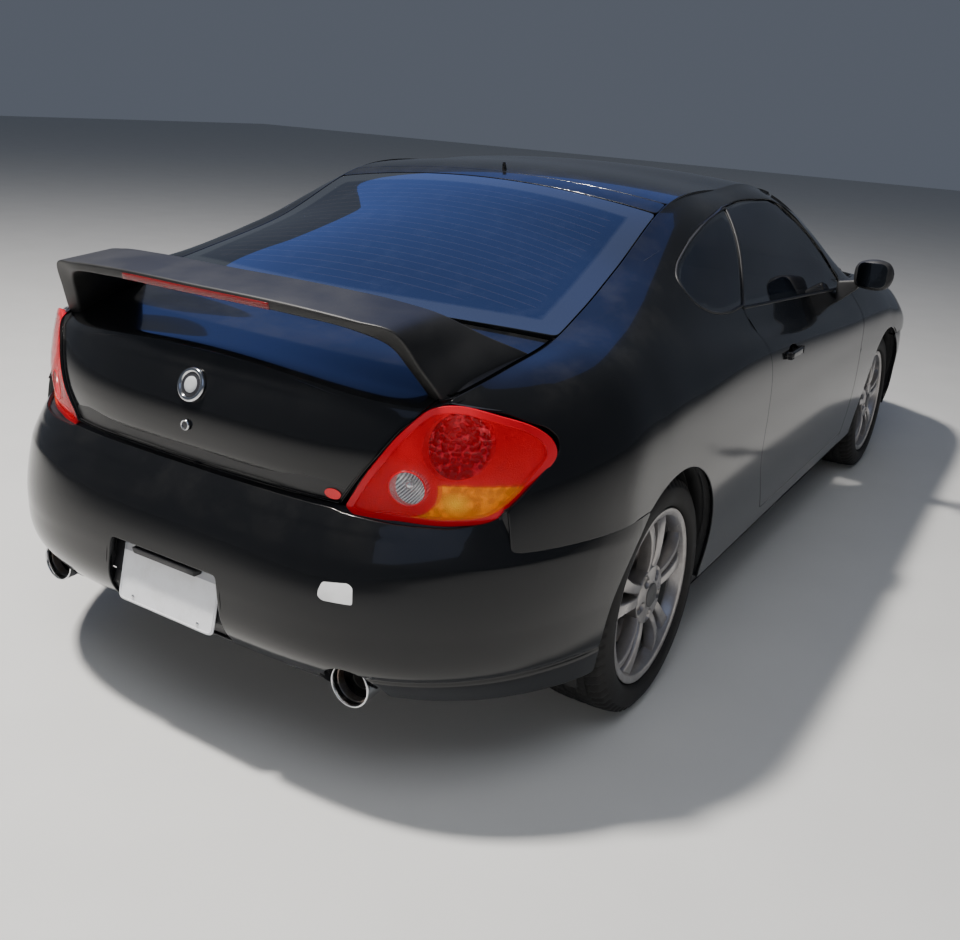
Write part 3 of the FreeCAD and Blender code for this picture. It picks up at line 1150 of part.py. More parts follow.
def make_rear_seat():
    profile = [[-991, FLOOR_TOP + SEAT_GAP], [-640, FLOOR_TOP + SEAT_GAP], [-600, 440], [-650, 470], [-940, 430], [-1160, 880], [-1240, 880],
               [-1120, 400], [-991, CARGO_TOP + SEAT_GAP]]
    tunnel = box([-1100, -TUNNEL_HALF - SEAT_GAP, 0], [0, TUNNEL_HALF + SEAT_GAP, TUNNEL_TOP + SEAT_GAP])
    return side_prism(profile, -505, 505).cut(tunnel)


def make_dashboard():
    """Dashboard with the console between the seats."""
    front = FIREWALL_X - WALL - SEAT_GAP
    profile = [[front, 560], [front, 850], [780, 866], [676, 869], [620, 882], [560, 850], [540, 790], [600, 640], [680, 560]]
    dash = side_prism(profile, -DASH_HALF, DASH_HALF)
    console = side_prism([[-200, TUNNEL_TOP + SEAT_GAP], [700, TUNNEL_TOP + SEAT_GAP], [700, 700], [590, 640], [500, 470], [-200, 440]], -95, 95)
    return dash.fuse(console)


def make_steering_wheel():
    ring = Part.makeTorus(178, 15, vec(0, 0, 0), vec(0, 0, 1))
    hub = Part.makeCylinder(58, 40, vec(0, 0, -40), vec(0, 0, 1))
    column = Part.makeCylinder(28, 190, vec(0, 0, -200), vec(0, 0, 1))
    wheel = ring.multiFuse([hub, column, box([-16, -172, -26], [16, 172, -12]), box([-172, -16, -26], [0, 16, -12])])
    wheel.rotate(vec(0, 0, 0), vec(0, 1, 0), -66)
    wheel.translate(vec(STEERING_X, SEAT_Y, STEERING_Z))
    return wheel.cut(make_dashboard())


def make_rear_axle():
    """Rear crossmember with its links, the two carriers and the dampers."""
    beam = Part.makeCylinder(38, 2 * 560, vec(REAR_AXLE, -560, TYRE_RADIUS), vec(0, 1, 0))
    carrier = make_knuckle(REAR_AXLE, 1)
    link = box([REAR_AXLE - 30, 540, TYRE_RADIUS - 40], [REAR_AXLE + 30, TRACK / 2 + KNUCKLE_IN + 5, TYRE_RADIUS + 40])
    foot = box([REAR_AXLE - DAMPER_BACK - 30, 560, TYRE_RADIUS - 20], [REAR_AXLE, DAMPER_Y + 40, TYRE_RADIUS + 40])
    damper = Part.makeCylinder(STRUT_RADIUS, 400, vec(REAR_AXLE - DAMPER_BACK, DAMPER_Y, TYRE_RADIUS + 30), vec(0, 0, 1))
    damper = damper.common(cylinder_y(ARCH_RADIUS - SEAT_GAP, REAR_AXLE, 400, 800, TYRE_RADIUS))
    half = carrier.multiFuse([link, damper, foot])
    return beam.multiFuse([half, mirrored(half)])


def make_paired():
    """Nodes of the left side that have a mirror image on the right."""
    door = make_door()
    pairs = {
        "body_side": make_body_side(), "door": door, "door_glass": make_door_glass(), "mirror": make_mirror(door),
        "knuckle": make_knuckle(FRONT_AXLE, -1),
    }
    for end, x in (("front", FRONT_AXLE), ("rear", REAR_AXLE)):
        pairs["tyre_" + end] = make_tyre(x)
        pairs["rim_" + end] = Part.Compound([make_rim(x), make_disc(x)])
    return pairs


def make_single():
    """Nodes that lie across the car, or hold both sides at once."""
    hatch = make_hatch()
    quarter_glass = make_quarter_glass()
    return {
        "fenders": both_sides(make_fender()), "tail_lamps": both_sides(make_tail_lamp()),
        "headlamps": both_sides(make_headlamp()), "roof": make_roof(), "cowl": make_cowl(), "hood": make_hood(),
        "fixed_glass": Part.Compound([make_windscreen(), quarter_glass, mirrored(quarter_glass)]),
        "hatch": hatch, "hatch_badge": make_badge(hatch), "rear_glass": make_rear_glass(), "wing": make_wing(),
        "brake_strip": make_brake_strip(), "rear_bumper": make_rear_bumper(), "rear_valance": make_valance(),
        "number_plate": make_plate(), "front_bumper": make_front_bumper(), "grille": make_grille(),
        "floor": make_floor(), "cargo_floor": make_cargo_floor(), "front_frame": make_front_frame(),
        "wheel_housings": make_wheel_housings(), "engine": make_engine(), "fuel_tank": make_tank(),
        "exhaust": make_exhaust(), "rear_axle": make_rear_axle(), "front_suspension": make_front_suspension(),
        "front_seats": make_front_seats(), "rear_seat": make_rear_seat(), "dashboard": make_dashboard(),
        "steering_wheel": make_steering_wheel(),
    }


def main():
    nodes = make_single()
    for name, shape in make_paired().items():
        nodes[name + "_left"] = shape
        nodes[name + "_right"] = mirrored(shape)
    os.makedirs("parts", exist_ok=True)
    for name, shape in nodes.items():
        shape.exportStep("parts/" + name + ".step")
    print(len(nodes), "nodes")


main()
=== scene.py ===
# %% [markdown]
# The car comes in as a fixed frame of solids. Everything below is laid on it: smooth painted skins over the
# panels, glass, lamps, wheels and seats. Lengths in the tables are millimetres, and the last step of each
# surface turns them into metres.

# %% Load the frame
import json
import math
import bpy
import numpy as np
from mathutils import Matrix, Vector
from mathutils.geometry import delaunay_2d_cdt


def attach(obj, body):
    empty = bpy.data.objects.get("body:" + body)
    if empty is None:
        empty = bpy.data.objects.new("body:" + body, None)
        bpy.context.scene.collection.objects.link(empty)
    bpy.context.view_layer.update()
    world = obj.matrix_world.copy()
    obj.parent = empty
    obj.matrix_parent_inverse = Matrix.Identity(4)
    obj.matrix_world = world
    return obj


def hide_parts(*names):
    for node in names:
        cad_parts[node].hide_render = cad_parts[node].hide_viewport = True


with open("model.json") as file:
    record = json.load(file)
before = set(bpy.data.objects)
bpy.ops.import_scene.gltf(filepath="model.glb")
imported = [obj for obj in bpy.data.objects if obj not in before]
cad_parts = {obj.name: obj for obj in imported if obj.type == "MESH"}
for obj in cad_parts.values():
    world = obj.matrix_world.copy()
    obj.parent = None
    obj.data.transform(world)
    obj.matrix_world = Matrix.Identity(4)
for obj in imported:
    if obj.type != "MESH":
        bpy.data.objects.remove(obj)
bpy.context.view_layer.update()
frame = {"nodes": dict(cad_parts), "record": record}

MM = 0.001

# %% [markdown]
# The sizes of the body are the same tables that the solids were lofted through. Here a cubic runs through
# them in both directions, so the paint gets a continuous curvature that straight facets can't show.

# %% Sizes of the body
SIDE = np.array([
    [-1990, 600, 250, 668, 430, 694, 600, 646, 760, 616, 846, 604, 872, 594, 890, 584, 906],
    [-1900, 690, 250, 742, 430, 769, 600, 748, 750, 708, 868, 682, 902, 655, 925, 624, 941],
    [-1800, 768, 248, 804, 430, 822, 605, 808, 770, 762, 896, 725, 932, 684, 953, 636, 962],
    [-1650, 826, 243, 856, 430, 869, 620, 858, 800, 806, 928, 762, 964, 706, 982, 641, 986],
    [-1450, 840, 240, 868, 430, 880, 640, 870, 820, 806, 958, 748, 1000, 686, 1022, 623, 1035],
    [-1200, 840, 238, 868, 430, 880, 650, 868, 840, 798, 972, 736, 1052, 666, 1092, 591, 1108],
    [-830, 840, 237, 867, 430, 878, 660, 864, 860, 790, 966, 728, 1112, 656, 1208, 566, 1262],
    [-400, 839, 237, 866, 430, 876, 665, 862, 845, 787, 948, 720, 1134, 636, 1244, 551, 1290],
    [0, 838, 237, 866, 430, 876, 665, 860, 825, 786, 926, 718, 1112, 642, 1232, 556, 1286],
    [300, 838, 237, 866, 430, 876, 660, 860, 808, 785, 910, 752, 1022, 708, 1108, 630, 1182],
    [560, 838, 237, 867, 430, 877, 655, 861, 796, 786, 897, 772, 938, 748, 984, 690, 1038],
    [800, 839, 237, 868, 430, 879, 650, 862, 784, 800, 878, 778, 896, 756, 908, 722, 918],
    [1202, 838, 237, 868, 430, 880, 640, 866, 752, 812, 836, 778, 852, 742, 864, 700, 873],
    [1560, 828, 237, 860, 425, 876, 600, 860, 690, 800, 770, 764, 788, 726, 800, 680, 808],
    [1800, 764, 238, 800, 415, 818, 570, 800, 640, 742, 706, 708, 724, 672, 736, 630, 745],
    [2000, 610, 240, 650, 400, 668, 540, 650, 590, 600, 634, 574, 650, 546, 662, 512, 672],
], float)
SIDE_X = SIDE[:, 0]
SIDE_YZ = SIDE[:, 1:].reshape(len(SIDE), 8, 2)
SECTION = np.array([0, 193, 408, 585, 712, 800, 880, 960], float)
EDGE = np.vstack([[-2120, 540, 880], np.column_stack([SIDE_X, SIDE_YZ[:, 7]]), [2120, 440, 622]])
CENTRE = np.array([
    [-2120, 934], [-1990, 953], [-1900, 968], [-1800, 985], [-1650, 1031], [-1450, 1105], [-1200, 1192],
    [-830, 1304], [-400, 1326], [0, 1318], [300, 1240], [560, 1112], [800, 982], [900, 925], [930, 914],
], float)
HOOD = np.array([[720, 965], [1202, 915], [1560, 850], [1800, 790], [2000, 714], [2120, 655]], float)
TAIL = np.array([[600, -2112, 870], [672, -2110, 870], [768, -2122, 870], [858, -2104, 870],
                 [942, -2064, 870], [1010, -2030, 870]], float)
REAR_BUMPER = np.array([[256, -2096, 862], [330, -2170, 872], [440, -2196.2, 878], [540, -2178, 881],
                        [593, -2160, 880], [640, -2134, 874], [668, -2112, 866]], float)
NOSE = np.array([[228, 2120, 846], [300, 2172, 862], [420, 2196.2, 872], [520, 2192, 879], [600, 2160, 874],
                 [660, 2104, 856], [740, 2010, 842]], float)
REAR_AXLE, FRONT_AXLE, AXLE_Z, TRACK, ARCH = -1327.5, 1202.5, 312.65, 1490.0, 350.0
# Radius that turns the value u of a rounded end into an angle, and the stations where both ends begin.
END_RADIUS, REAR_START, FRONT_START = 870.0, -1560.0, 1500.0
# Half width and half length past which a surface bends softly, and the room left beyond them.
HALF_WIDTH, WIDTH_ROOM = 870.0, 9.0
HALF_LENGTH, LENGTH_ROOM = 2192.0, 5.3

# %% [markdown]
# A cubic between table rows needs a slope at every row. The slope here is the one of the parabola through
# a row and its two neighbours, so no row has to be fitted by hand and the curve passes through all of them.

# %% Smooth curve through a table
def hermite(s, step, start, end, slope_start, slope_end):
    """Value and slope at both ends of a span, blended by the four cubic Hermite weights."""
    return ((1 + 2 * s) * (1 - s) ** 2 * start + s * (1 - s) ** 2 * step * slope_start
            + s ** 2 * (3 - 2 * s) * end + s ** 2 * (s - 1) * step * slope_end)


def smooth(knots, values, at):
    """A curve through all table rows: one Hermite cubic for each span, with the slopes of the parabolas."""
    slopes = np.gradient(values, knots, axis=0)
    at = np.asarray(at, float)
    i = np.clip(np.searchsorted(knots, at) - 1, 0, len(knots) - 2)
    step = knots[i + 1] - knots[i]
    s = np.clip((at - knots[i]) / step, -0.5, 1.5)
    wide = s.shape + (1,) * (values.ndim - 1)
    return hermite(s.reshape(wide), step.reshape(wide), values[i], values[i + 1], slopes[i], slopes[i + 1])


def soft_limit(value, limit, room):
    """What is over the limit is taken off, and room times its hyperbolic tangent is put back."""
    over = np.maximum(value - limit, 0)
    return value - over + room * np.tanh(over / room)


def side_surface(x, t):
    """Left side: rows are blended along the car, then a cubic runs up each section by its height value t."""
    rows = smooth(SIDE_X, SIDE_YZ, x)
    slopes = np.gradient(rows, SECTION, axis=1)
    i = np.clip(np.searchsorted(SECTION, t) - 1, 0, len(SECTION) - 2)
    step = (SECTION[i + 1] - SECTION[i])[:, None]
    s = np.clip((t - SECTION[i])[:, None] / step, -0.2, 1.2)
    n = np.arange(len(x))
    yz = hermite(s, step, rows[n, i], rows[n, i + 1], slopes[n, i], slopes[n, i + 1])
    yz[:, 0] = soft_limit(yz[:, 0], HALF_WIDTH, WIDTH_ROOM)
    return np.column_stack([x, yz])


def side_height(x, z):
    """Height value t of the side surface where it reaches z, by sampling each section and reading off z."""
    levels = np.linspace(0, 960, 321)
    grid_x = np.repeat(x, len(levels))
    found = side_surface(grid_x, np.tile(levels, len(x)))[:, 2].reshape(len(x), -1)
    above = np.argmax(found >= z[:, None], axis=1)
    above = np.where(found[:, -1] < z, len(levels) - 1, np.maximum(above, 1))
    n = np.arange(len(x))
    low, high = found[n, above - 1], found[n, above]
    share = np.clip((z - low) / np.maximum(high - low, 1e-6), 0, 1)
    return levels[above - 1] + share * (levels[1] - levels[0])


def crown_surface(centre):
    """Surface across the car: a circle through the middle height and both edges at every x."""
    def surface(x, y):
        middle = smooth(centre[:, 0], centre[:, 1], x)
        half, edge = smooth(EDGE[:, 0], EDGE[:, 1:], x).T
        drop = np.maximum(middle - edge, 1.0)
        radius = (half ** 2 + drop ** 2) / (2 * drop)
        return np.column_stack([x, y, middle - radius + np.sqrt(np.maximum(radius ** 2 - y ** 2, 0))])
    return surface


def end_surface(levels, power, root, middle):
    """Rounded end: across goes as the sine of an angle, along as (1 - share ** power) ** root."""
    def surface(u, z):
        reach, half = smooth(levels[:, 0], levels[:, 1:], z).T
        share = np.sin(np.clip(u / END_RADIUS, -math.pi / 2, math.pi / 2))
        beyond = np.maximum(np.abs(u) - END_RADIUS * math.pi / 2, 0) * -np.sign(reach - middle)
        depth = np.maximum(1 - np.abs(share) ** power, 0) ** root
        return np.column_stack([middle + (reach - middle) * depth + beyond, share * half, z])
    return surface


def end_across(levels, y, z):
    """Angle value u of an end surface where it is y from the middle."""
    half = smooth(levels[:, 0], levels[:, 1:], z)[:, 1]
    return np.arcsin(np.clip(y / half, -1, 1)) * END_RADIUS


deck_surface = crown_surface(CENTRE)
hood_surface = crown_surface(HOOD)
tail_surface = end_surface(TAIL, 3.2, 0.55, REAR_START)
rear_surface = end_surface(REAR_BUMPER, 4.0, 0.65, REAR_START)
nose_surface = end_surface(NOSE, 3.0, 0.6, FRONT_START)

# %% [markdown]
# A pressed panel is one sheet whose rim is bent inward round a small radius. The sheet is a set of points of
# the smooth surface joined into triangles inside its outline, and the rim is a profile carried along it.

# %% Panel maker
# How far the painted skin stands off the solid under it, and half the width of a gap between panels.
LIFT, GAP = 2.5, 0.8


def unit(vectors, least=1e-9):
    """Vectors along the last axis divided by their length, or by the least length allowed."""
    return vectors / np.maximum(np.linalg.norm(vectors, axis=-1, keepdims=True), least)


def run_length(points):
    """Length of a line of points from its start up to each of them."""
    return np.concatenate([[0], np.cumsum(np.linalg.norm(np.diff(points, axis=0), axis=1))])


def through(points, step=8.0):
    """A smooth open curve through a few points, resampled by length."""
    points = np.asarray(points, float)
    along = run_length(points)
    count = max(int(along[-1] / step), 2)
    return smooth(along, points, np.linspace(0, along[-1], count + 1))


def straight(points, step=8.0):
    """Straight runs between points, resampled by length."""
    points = np.asarray(points, float)
    along = run_length(points)
    at = np.unique(np.concatenate([along, np.linspace(0, along[-1], max(int(along[-1] / step), 2) + 1)]))
    return np.column_stack([np.interp(at, along, points[:, k]) for k in range(points.shape[1])])


def closed_loop(*runs, step=7.0, rounds=3):
    """Runs joined into one closed outline, spaced evenly, its corners softened by averaging neighbours."""
    points = np.vstack([np.asarray(run, float) for run in runs])
    keep = np.linalg.norm(points - np.roll(points, 1, axis=0), axis=1) > 1e-6
    points = points[keep]
    ring = np.vstack([points, points[:1]])
    along = run_length(ring)
    at = np.linspace(0, along[-1], max(int(along[-1] / step), 8) + 1)[:-1]
    points = np.column_stack([np.interp(at, along, ring[:, k]) for k in range(2)])
    for _ in range(rounds):
        points = (np.roll(points, 1, axis=0) + 2 * points + np.roll(points, -1, axis=0)) / 4
    x, y = points.T
    if np.sum(x * np.roll(y, -1) - np.roll(x, -1) * y) < 0:
        points = points[::-1]
    return points


def inside(points, loop):
    """Even-odd test: how many outline runs a ray to the right of each point crosses."""
    a, b = loop, np.roll(loop, -1, axis=0)
    result = np.zeros(len(points), bool)
    for start in range(0, len(points), 4000):
        p = points[start:start + 4000]
        straddle = (a[None, :, 1] > p[:, None, 1]) != (b[None, :, 1] > p[:, None, 1])
        rise = np.where(np.abs(b[:, 1] - a[:, 1]) < 1e-9, 1e-9, b[:, 1] - a[:, 1])
        cross = a[None, :, 0] + (p[:, None, 1] - a[None, :, 1]) * ((b[:, 0] - a[:, 0]) / rise)[None, :]
        result[start:start + 4000] = (straddle & (p[:, None, 0] < cross)).sum(axis=1) % 2 == 1
    return result


def within(points, loops):
    """Points inside the first outline and outside the others, which are holes."""
    keep = inside(points, loops[0])
    for hole in loops[1:]:
        keep &= ~inside(points, hole)
    return keep


def facing(surface, at, outward):
    """Unit normal of a surface: the cross product of its two small steps, turned to the outward side."""
    u, v = at.T
    d = 0.5
    across = surface(u + d, v) - surface(u - d, v)
    up = surface(u, v + d) - surface(u, v - d)
    return unit(np.cross(across, up)) * outward


def held(points):
    """Points inside the frame's length: past a limit on both sides of the middle, x bends softly."""
    points = np.array(points, float)
    points[:, 0] = np.sign(points[:, 0]) * soft_limit(np.abs(points[:, 0]), HALF_LENGTH, LENGTH_ROOM)
    return points


def new_piece(name, parts, material, body, slot, *nodes):
    """A mesh object in metres from millimetre points and faces, with shading normals if there are any."""
    points, faces, *normals = parts
    mesh = bpy.data.meshes.new(name)
    mesh.from_pydata((held(points) * MM).tolist(), [], [list(map(int, f)) for f in faces])
    mesh.validate()
    mesh.update()
    mesh.shade_smooth()
    if normals:
        mesh.normals_split_custom_set_from_vertices(normals[0].tolist())
    mesh.materials.append(material)
    piece = bpy.data.objects.new(name, mesh)
    bpy.context.scene.collection.objects.link(piece)
    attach(piece, body)
    if nodes:
        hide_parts(*nodes)
    return piece


def mirrored(parts):
    """The same piece on the other side: y changes sign and each face is turned round."""
    points, faces, *normals = parts
    flip = np.array([1, -1, 1])
    return [points * flip, [list(face)[::-1] for face in faces], *(n * flip for n in normals)]


def both(name, parts, material, body, slot, *nodes):
    """A left piece and its mirror image. A node that ends in _ has two sides, another is the left piece's."""
    for side, shown in (("left", parts), ("right", mirrored(parts))):
        rider = body if body == "body" else body + "_" + side
        own = [node + side for node in nodes if node.endswith("_")]
        shared = [node for node in nodes if not node.endswith("_") and side == "left"]
        new_piece(name + "_" + side, shown, material, rider, slot, *own, *shared)


def sheet(surface, loops, outward, spacing=24.0, lift=0.0, radius=2.5, depth=9.0, back=False):
    """Points and faces of a panel: inner points on a lattice, outline points and the rolled rim."""
    low, high = loops[0].min(axis=0), loops[0].max(axis=0)
    u, v = np.meshgrid(np.arange(low[0], high[0], spacing), np.arange(low[1], high[1], spacing))
    lattice = np.column_stack([u.ravel(), v.ravel()])
    lattice = lattice[within(lattice, loops)]
    rim = np.vstack(loops)
    for start in range(0, len(rim), 200):
        gap = np.linalg.norm(lattice[:, None] - rim[None, start:start + 200], axis=2).min(axis=1)
        lattice = lattice[gap > spacing * 0.45]
    at = np.vstack([rim, lattice])
    found = delaunay_2d_cdt([Vector(p) for p in at], [], [], 0, 1e-5)
    at = np.array([list(p) for p in found[0]])
    origin = [list(o) for o in found[3]]
    faces = np.array([f for f in found[2] if len(f) == 3])
    faces = faces[within(at[faces].mean(axis=1), loops)]
    place = np.empty(len(rim), int)
    for new, olds in enumerate(origin):
        for old in olds:
            if old < len(rim):
                place[old] = new
    normal = facing(surface, at, outward)
    points = surface(at[:, 0], at[:, 1]) + normal * lift
    probe = points[faces]
    turned = np.einsum("ij,ij->i", np.cross(probe[:, 1] - probe[:, 0], probe[:, 2] - probe[:, 0]),
                       normal[faces[:, 0]]) < 0
    faces[turned] = faces[turned][:, ::-1]
    rings, offset = [], 0
    for order, loop in enumerate(loops):
        ring = place[offset:offset + len(loop)]
        rings.append(ring[::-1] if (order > 0) != (outward < 0) else ring)
        offset += len(loop)
    return rolled(points, faces.tolist(), normal, rings, radius, depth, back)


def slab(surface, loop, outward, spacing, lift, radius, depth):
    """A closed plate: a sheet inside one outline, with a back."""
    return sheet(surface, [loop], outward, spacing, lift, radius, depth, back=True)


def rolled(points, faces, normal, rings, radius=2.5, depth=9.0, back=False):
    """Each rim, anticlockwise from outside, is bent inward: a quarter circle, then a flange of some depth."""
    all_points, all_normals, all_faces = [points], [normal], list(faces)
    if back:
        all_points.append(points - normal * depth)
        all_normals.append(-normal)
        all_faces += [[i + len(points) for i in face[::-1]] for face in faces]
    for ring in rings:
        base, face_normal = points[ring], normal[ring]
        run = unit(np.roll(base, -1, axis=0) - np.roll(base, 1, axis=0))
        out = np.cross(run, face_normal)
        rows = [ring]
        for angle in (30, 60, 90):
            c, s = math.cos(math.radians(angle)), math.sin(math.radians(angle))
            shift = sum(len(p) for p in all_points)
            all_points.append(base + out * radius * s - face_normal * radius * (1 - c))
            all_normals.append(face_normal * c + out * s)
            rows.append(np.arange(len(ring)) + shift)
        shift = sum(len(p) for p in all_points)
        all_points.append(base + out * radius - face_normal * depth)
        all_normals.append(out)
        rows.append(np.arange(len(ring)) + shift)
        if back:
            rows.append(ring + len(points))
        for first, second in zip(rows[:-1], rows[1:]):
            quads = np.column_stack([first, second, np.roll(second, -1), np.roll(first, -1)])
            all_faces += quads.tolist()
    return np.vstack(all_points), all_faces, np.vstack(all_normals)


def grid_normals(points, flip=1.0):
    """Normals of a grid of points: the cross product of the steps along its rows and its columns."""
    return unit(np.cross(np.gradient(points, axis=1), np.gradient(points, axis=0)) * flip)


def grid_faces(rows, columns, closed_rows=False, closed_columns=False):
    """Quads of a grid, joined round where it closes."""
    r = np.arange(rows if closed_rows else rows - 1)
    c = np.arange(columns if closed_columns else columns - 1)
    r, c = [a.ravel() for a in np.meshgrid(r, c, indexing="ij")]
    down, over = (r + 1) % rows, (c + 1) % columns
    return np.column_stack([r * columns + c, r * columns + over, down * columns + over, down * columns + c])


def grid_sheet(points, flip=1.0, radius=2.5, depth=9.0, lift=LIFT):
    """A panel from a grid of points, with its rim rolled all round."""
    rows, columns = points.shape[:2]
    normal = grid_normals(points, flip)
    points = points + normal * lift
    index = np.arange(rows * columns).reshape(rows, columns)
    ring = np.concatenate([index[0, :-1], index[:-1, -1], index[-1, :0:-1], index[:0:-1, 0]])
    faces = grid_faces(rows, columns)
    if flip < 0:
        faces, ring = faces[:, ::-1], ring[::-1]
    return rolled(points.reshape(-1, 3), faces.tolist(), normal.reshape(-1, 3), [ring[::-1]], radius, depth)


def revolve(profile, count, centre=(0, 0, 0), axis=(0, 1, 0), side=(1, 0, 0), up=(0, 0, 1)):
    """A profile of radius and height turned: centre + radius (cosine side + sine up) + height axis."""
    angle = np.linspace(0, 2 * np.pi, count, endpoint=False)[:, None, None]
    radius, height = np.asarray(profile, float).T[..., None]
    return radius * (np.cos(angle) * side + np.sin(angle) * up) + height * np.array(axis) + centre


# %% [markdown]
# Shader maths reads better as sums and products than as wires. A small class wraps a socket, so adding or
# multiplying two of them adds the Math node, and one method makes any other node.

# %% Shader helper
class Wire:
    """A socket of a node tree that can be added, subtracted, multiplied and divided like a number."""

    def __init__(self, tree, socket):
        self.tree = tree
        self.socket = socket

    def maths(self, kind, *others, flip=False):
        """A Math node of one kind over this socket and other sockets or numbers, in turned order if asked."""
        node = self.tree.nodes.new("ShaderNodeMath")
        node.operation = kind
        values = [self, *others]
        for i, value in enumerate(values[::-1] if flip else values):
            if isinstance(value, Wire):
                self.tree.links.new(value.socket, node.inputs[i])
            else:
                node.inputs[i].default_value = value
        return Wire(self.tree, node.outputs[0])

    def __add__(self, other):
        return self.maths("ADD", other)

    __radd__ = __add__

    def __mul__(self, other):
        return self.maths("MULTIPLY", other)

    __rmul__ = __mul__

    def __sub__(self, other):
        return self.maths("SUBTRACT", other)

    def __rsub__(self, other):
        return self.maths("SUBTRACT", other, flip=True)

    def __truediv__(self, other):
        return self.maths("DIVIDE", other)


class Finish:
    """A material under construction: its tree, its shader and the object's own coordinates."""

    def __init__(self, name, **constants):
        self.material = bpy.data.materials.new(name)
        self.material.use_nodes = True
        self.tree = self.material.node_tree
        self.shader = self.tree.nodes["Principled BSDF"]
        for key, value in constants.items():
            self.set(key.replace("_", " ").title().replace("Ior", "IOR"), value)
        self.place = self.node("ShaderNodeTexCoord")["Object"]
        axes = self.node("ShaderNodeSeparateXYZ", Vector=self.place)
        self.x, self.y, self.z = axes["X"], axes["Y"], axes["Z"]

    def node(self, kind, settings=(), **inputs):
        """A node of one kind: settings, then values or wires for its inputs; gives its outputs by name."""
        node = self.tree.nodes.new(kind)
        for key, value in dict(settings).items():
            setattr(node, key, value)
        for key, value in inputs.items():
            self.plug(node.inputs[int(key[1:])] if key[0] == "_" else node.inputs[key], value)
        return {out.name: Wire(self.tree, out) for out in node.outputs}

    def plug(self, socket, value):
        if isinstance(value, Wire):
            self.tree.links.new(value.socket, socket)
        else:
            socket.default_value = value

    def set(self, name, value):
        self.plug(self.shader.inputs[name], value)

    def noise(self, scale, detail=3.0, roughness=0.5):
        """Soft noise between 0 and 1 in the object's own coordinates."""
        return self.node(
            "ShaderNodeTexNoise", Vector=self.place, Scale=scale, Detail=detail, Roughness=roughness)["Fac"]

    def wave(self, scale, axis="X"):
        """Even stripes between 0 and 1, square to one of the object's own axes."""
        wave = self.node("ShaderNodeTexWave", {"bands_direction": axis}, Vector=self.place, Scale=scale)
        return wave["Fac"]

    def spread(self, value, low, high, to_low=0.0, to_high=1.0):
        """A value stretched from one range to another and held at its ends."""
        return self.node("ShaderNodeMapRange", _0=value, _1=low, _2=high, _3=to_low, _4=to_high)["Result"]

    def blend(self, share, first, second):
        """Two colours mixed by a share."""
        node = self.tree.nodes.new("ShaderNodeMix")
        node.data_type = "RGBA"
        self.plug(node.inputs[0], share)
        for socket, value in zip((node.inputs[6], node.inputs[7]), (first, second)):
            self.plug(socket, value if isinstance(value, Wire) else (*value, 1.0))
        return Wire(self.tree, node.outputs[2])

    def bump(self, height, strength=0.3, distance=0.001):
        """A relief of some height, as a change of the normal alone."""
        bump = self.node("ShaderNodeBump", Height=height, Strength=strength, Distance=distance)
        self.set("Normal", bump["Normal"])


# %% [markdown]
# The paint is old black gloss. Dust lies only where the surface looks up, and thin scratches run one way
# because their noise is stretched, so they take away some of the clear coat and not of the colour.

# %% Paint
def paint_finish():
    """Black gloss: near-black base under a clear coat, with fine swirls, dust and thin bright scratches."""
    f = Finish("black_paint", coat_roughness=0.03, coat_ior=1.42, specular_ior_level=0.12)
    dust = f.spread(f.noise(7.0, 6.0, 0.65), 0.45, 0.8, 0.0, 0.26)
    normal = f.node("ShaderNodeNewGeometry")["Normal"]
    film = dust * f.spread(f.node("ShaderNodeSeparateXYZ", Vector=normal)["Z"], 0.2, 0.95)
    f.set("Base Color", f.blend(film, (0.0045, 0.0048, 0.0055), (0.045, 0.043, 0.040)))
    f.set("Roughness", 0.16 + film * 0.35 + f.spread(f.noise(160.0, 2.0), 0.3, 0.7, 0.0, 0.06))
    stretch = {"Scale": (9.0, 60.0, 160.0), "Rotation": (0.2, 0.5, 0.35)}
    stretched = f.node("ShaderNodeMapping", Vector=f.place, **stretch)["Vector"]
    fine = f.node("ShaderNodeTexNoise", Vector=stretched, Scale=6.0, Detail=2.0)["Fac"]
    f.set("Coat Weight", 0.66 - f.spread(fine, 0.68, 0.72) * 0.3)
    f.bump(f.noise(900.0, 2.0) * 0.15 + fine * 0.1, 0.05, 0.0004)
    return f.material


PAINT = paint_finish()


def satin_finish(name, colour, roughness, grain=700.0, strength=0.25):
    """Grained plastic or faded paint: a little lighter in patches, with a fine pebble relief."""
    f = Finish(name, specular_ior_level=0.45)
    patch = f.spread(f.noise(5.0, 5.0), 0.35, 0.75)
    f.set("Base Color", f.blend(patch, colour, tuple(min(c * 1.9 + 0.006, 1) for c in colour)))
    f.set("Roughness", roughness + patch * 0.12)
    f.bump(f.noise(grain, 3.0), strength, 0.0006)
    return f.material


TRIM = satin_finish("black_trim", (0.010, 0.010, 0.011), 0.5)
WING_PAINT = satin_finish("faded_paint", (0.006, 0.006, 0.006), 0.46, 300.0, 0.06)
JAMB = satin_finish("jamb_paint", (0.006, 0.006, 0.007), 0.4, 200.0, 0.05)
UNDERSEAL = satin_finish("underseal", (0.012, 0.012, 0.012), 0.75, 150.0, 0.5)
CAST = satin_finish("cast_metal", (0.06, 0.058, 0.055), 0.6, 250.0, 0.4)
DASH = satin_finish("dash_plastic", (0.02, 0.02, 0.021), 0.6, 900.0, 0.3)

# %% [markdown]
# The side of the car is one pressing from the front pillar to the tail lamp, with the door, the front fender
# and the two bumpers set into it. Outlines are drawn as they are seen from the side, and each point is then
# looked up on the side surface.

# %% Side panels
def on_side(points):
    """Outline points x, z turned into the side surface's own values x, t."""
    points = np.asarray(points, float)
    return np.column_stack([points[:, 0], side_height(points[:, 0], points[:, 1])])


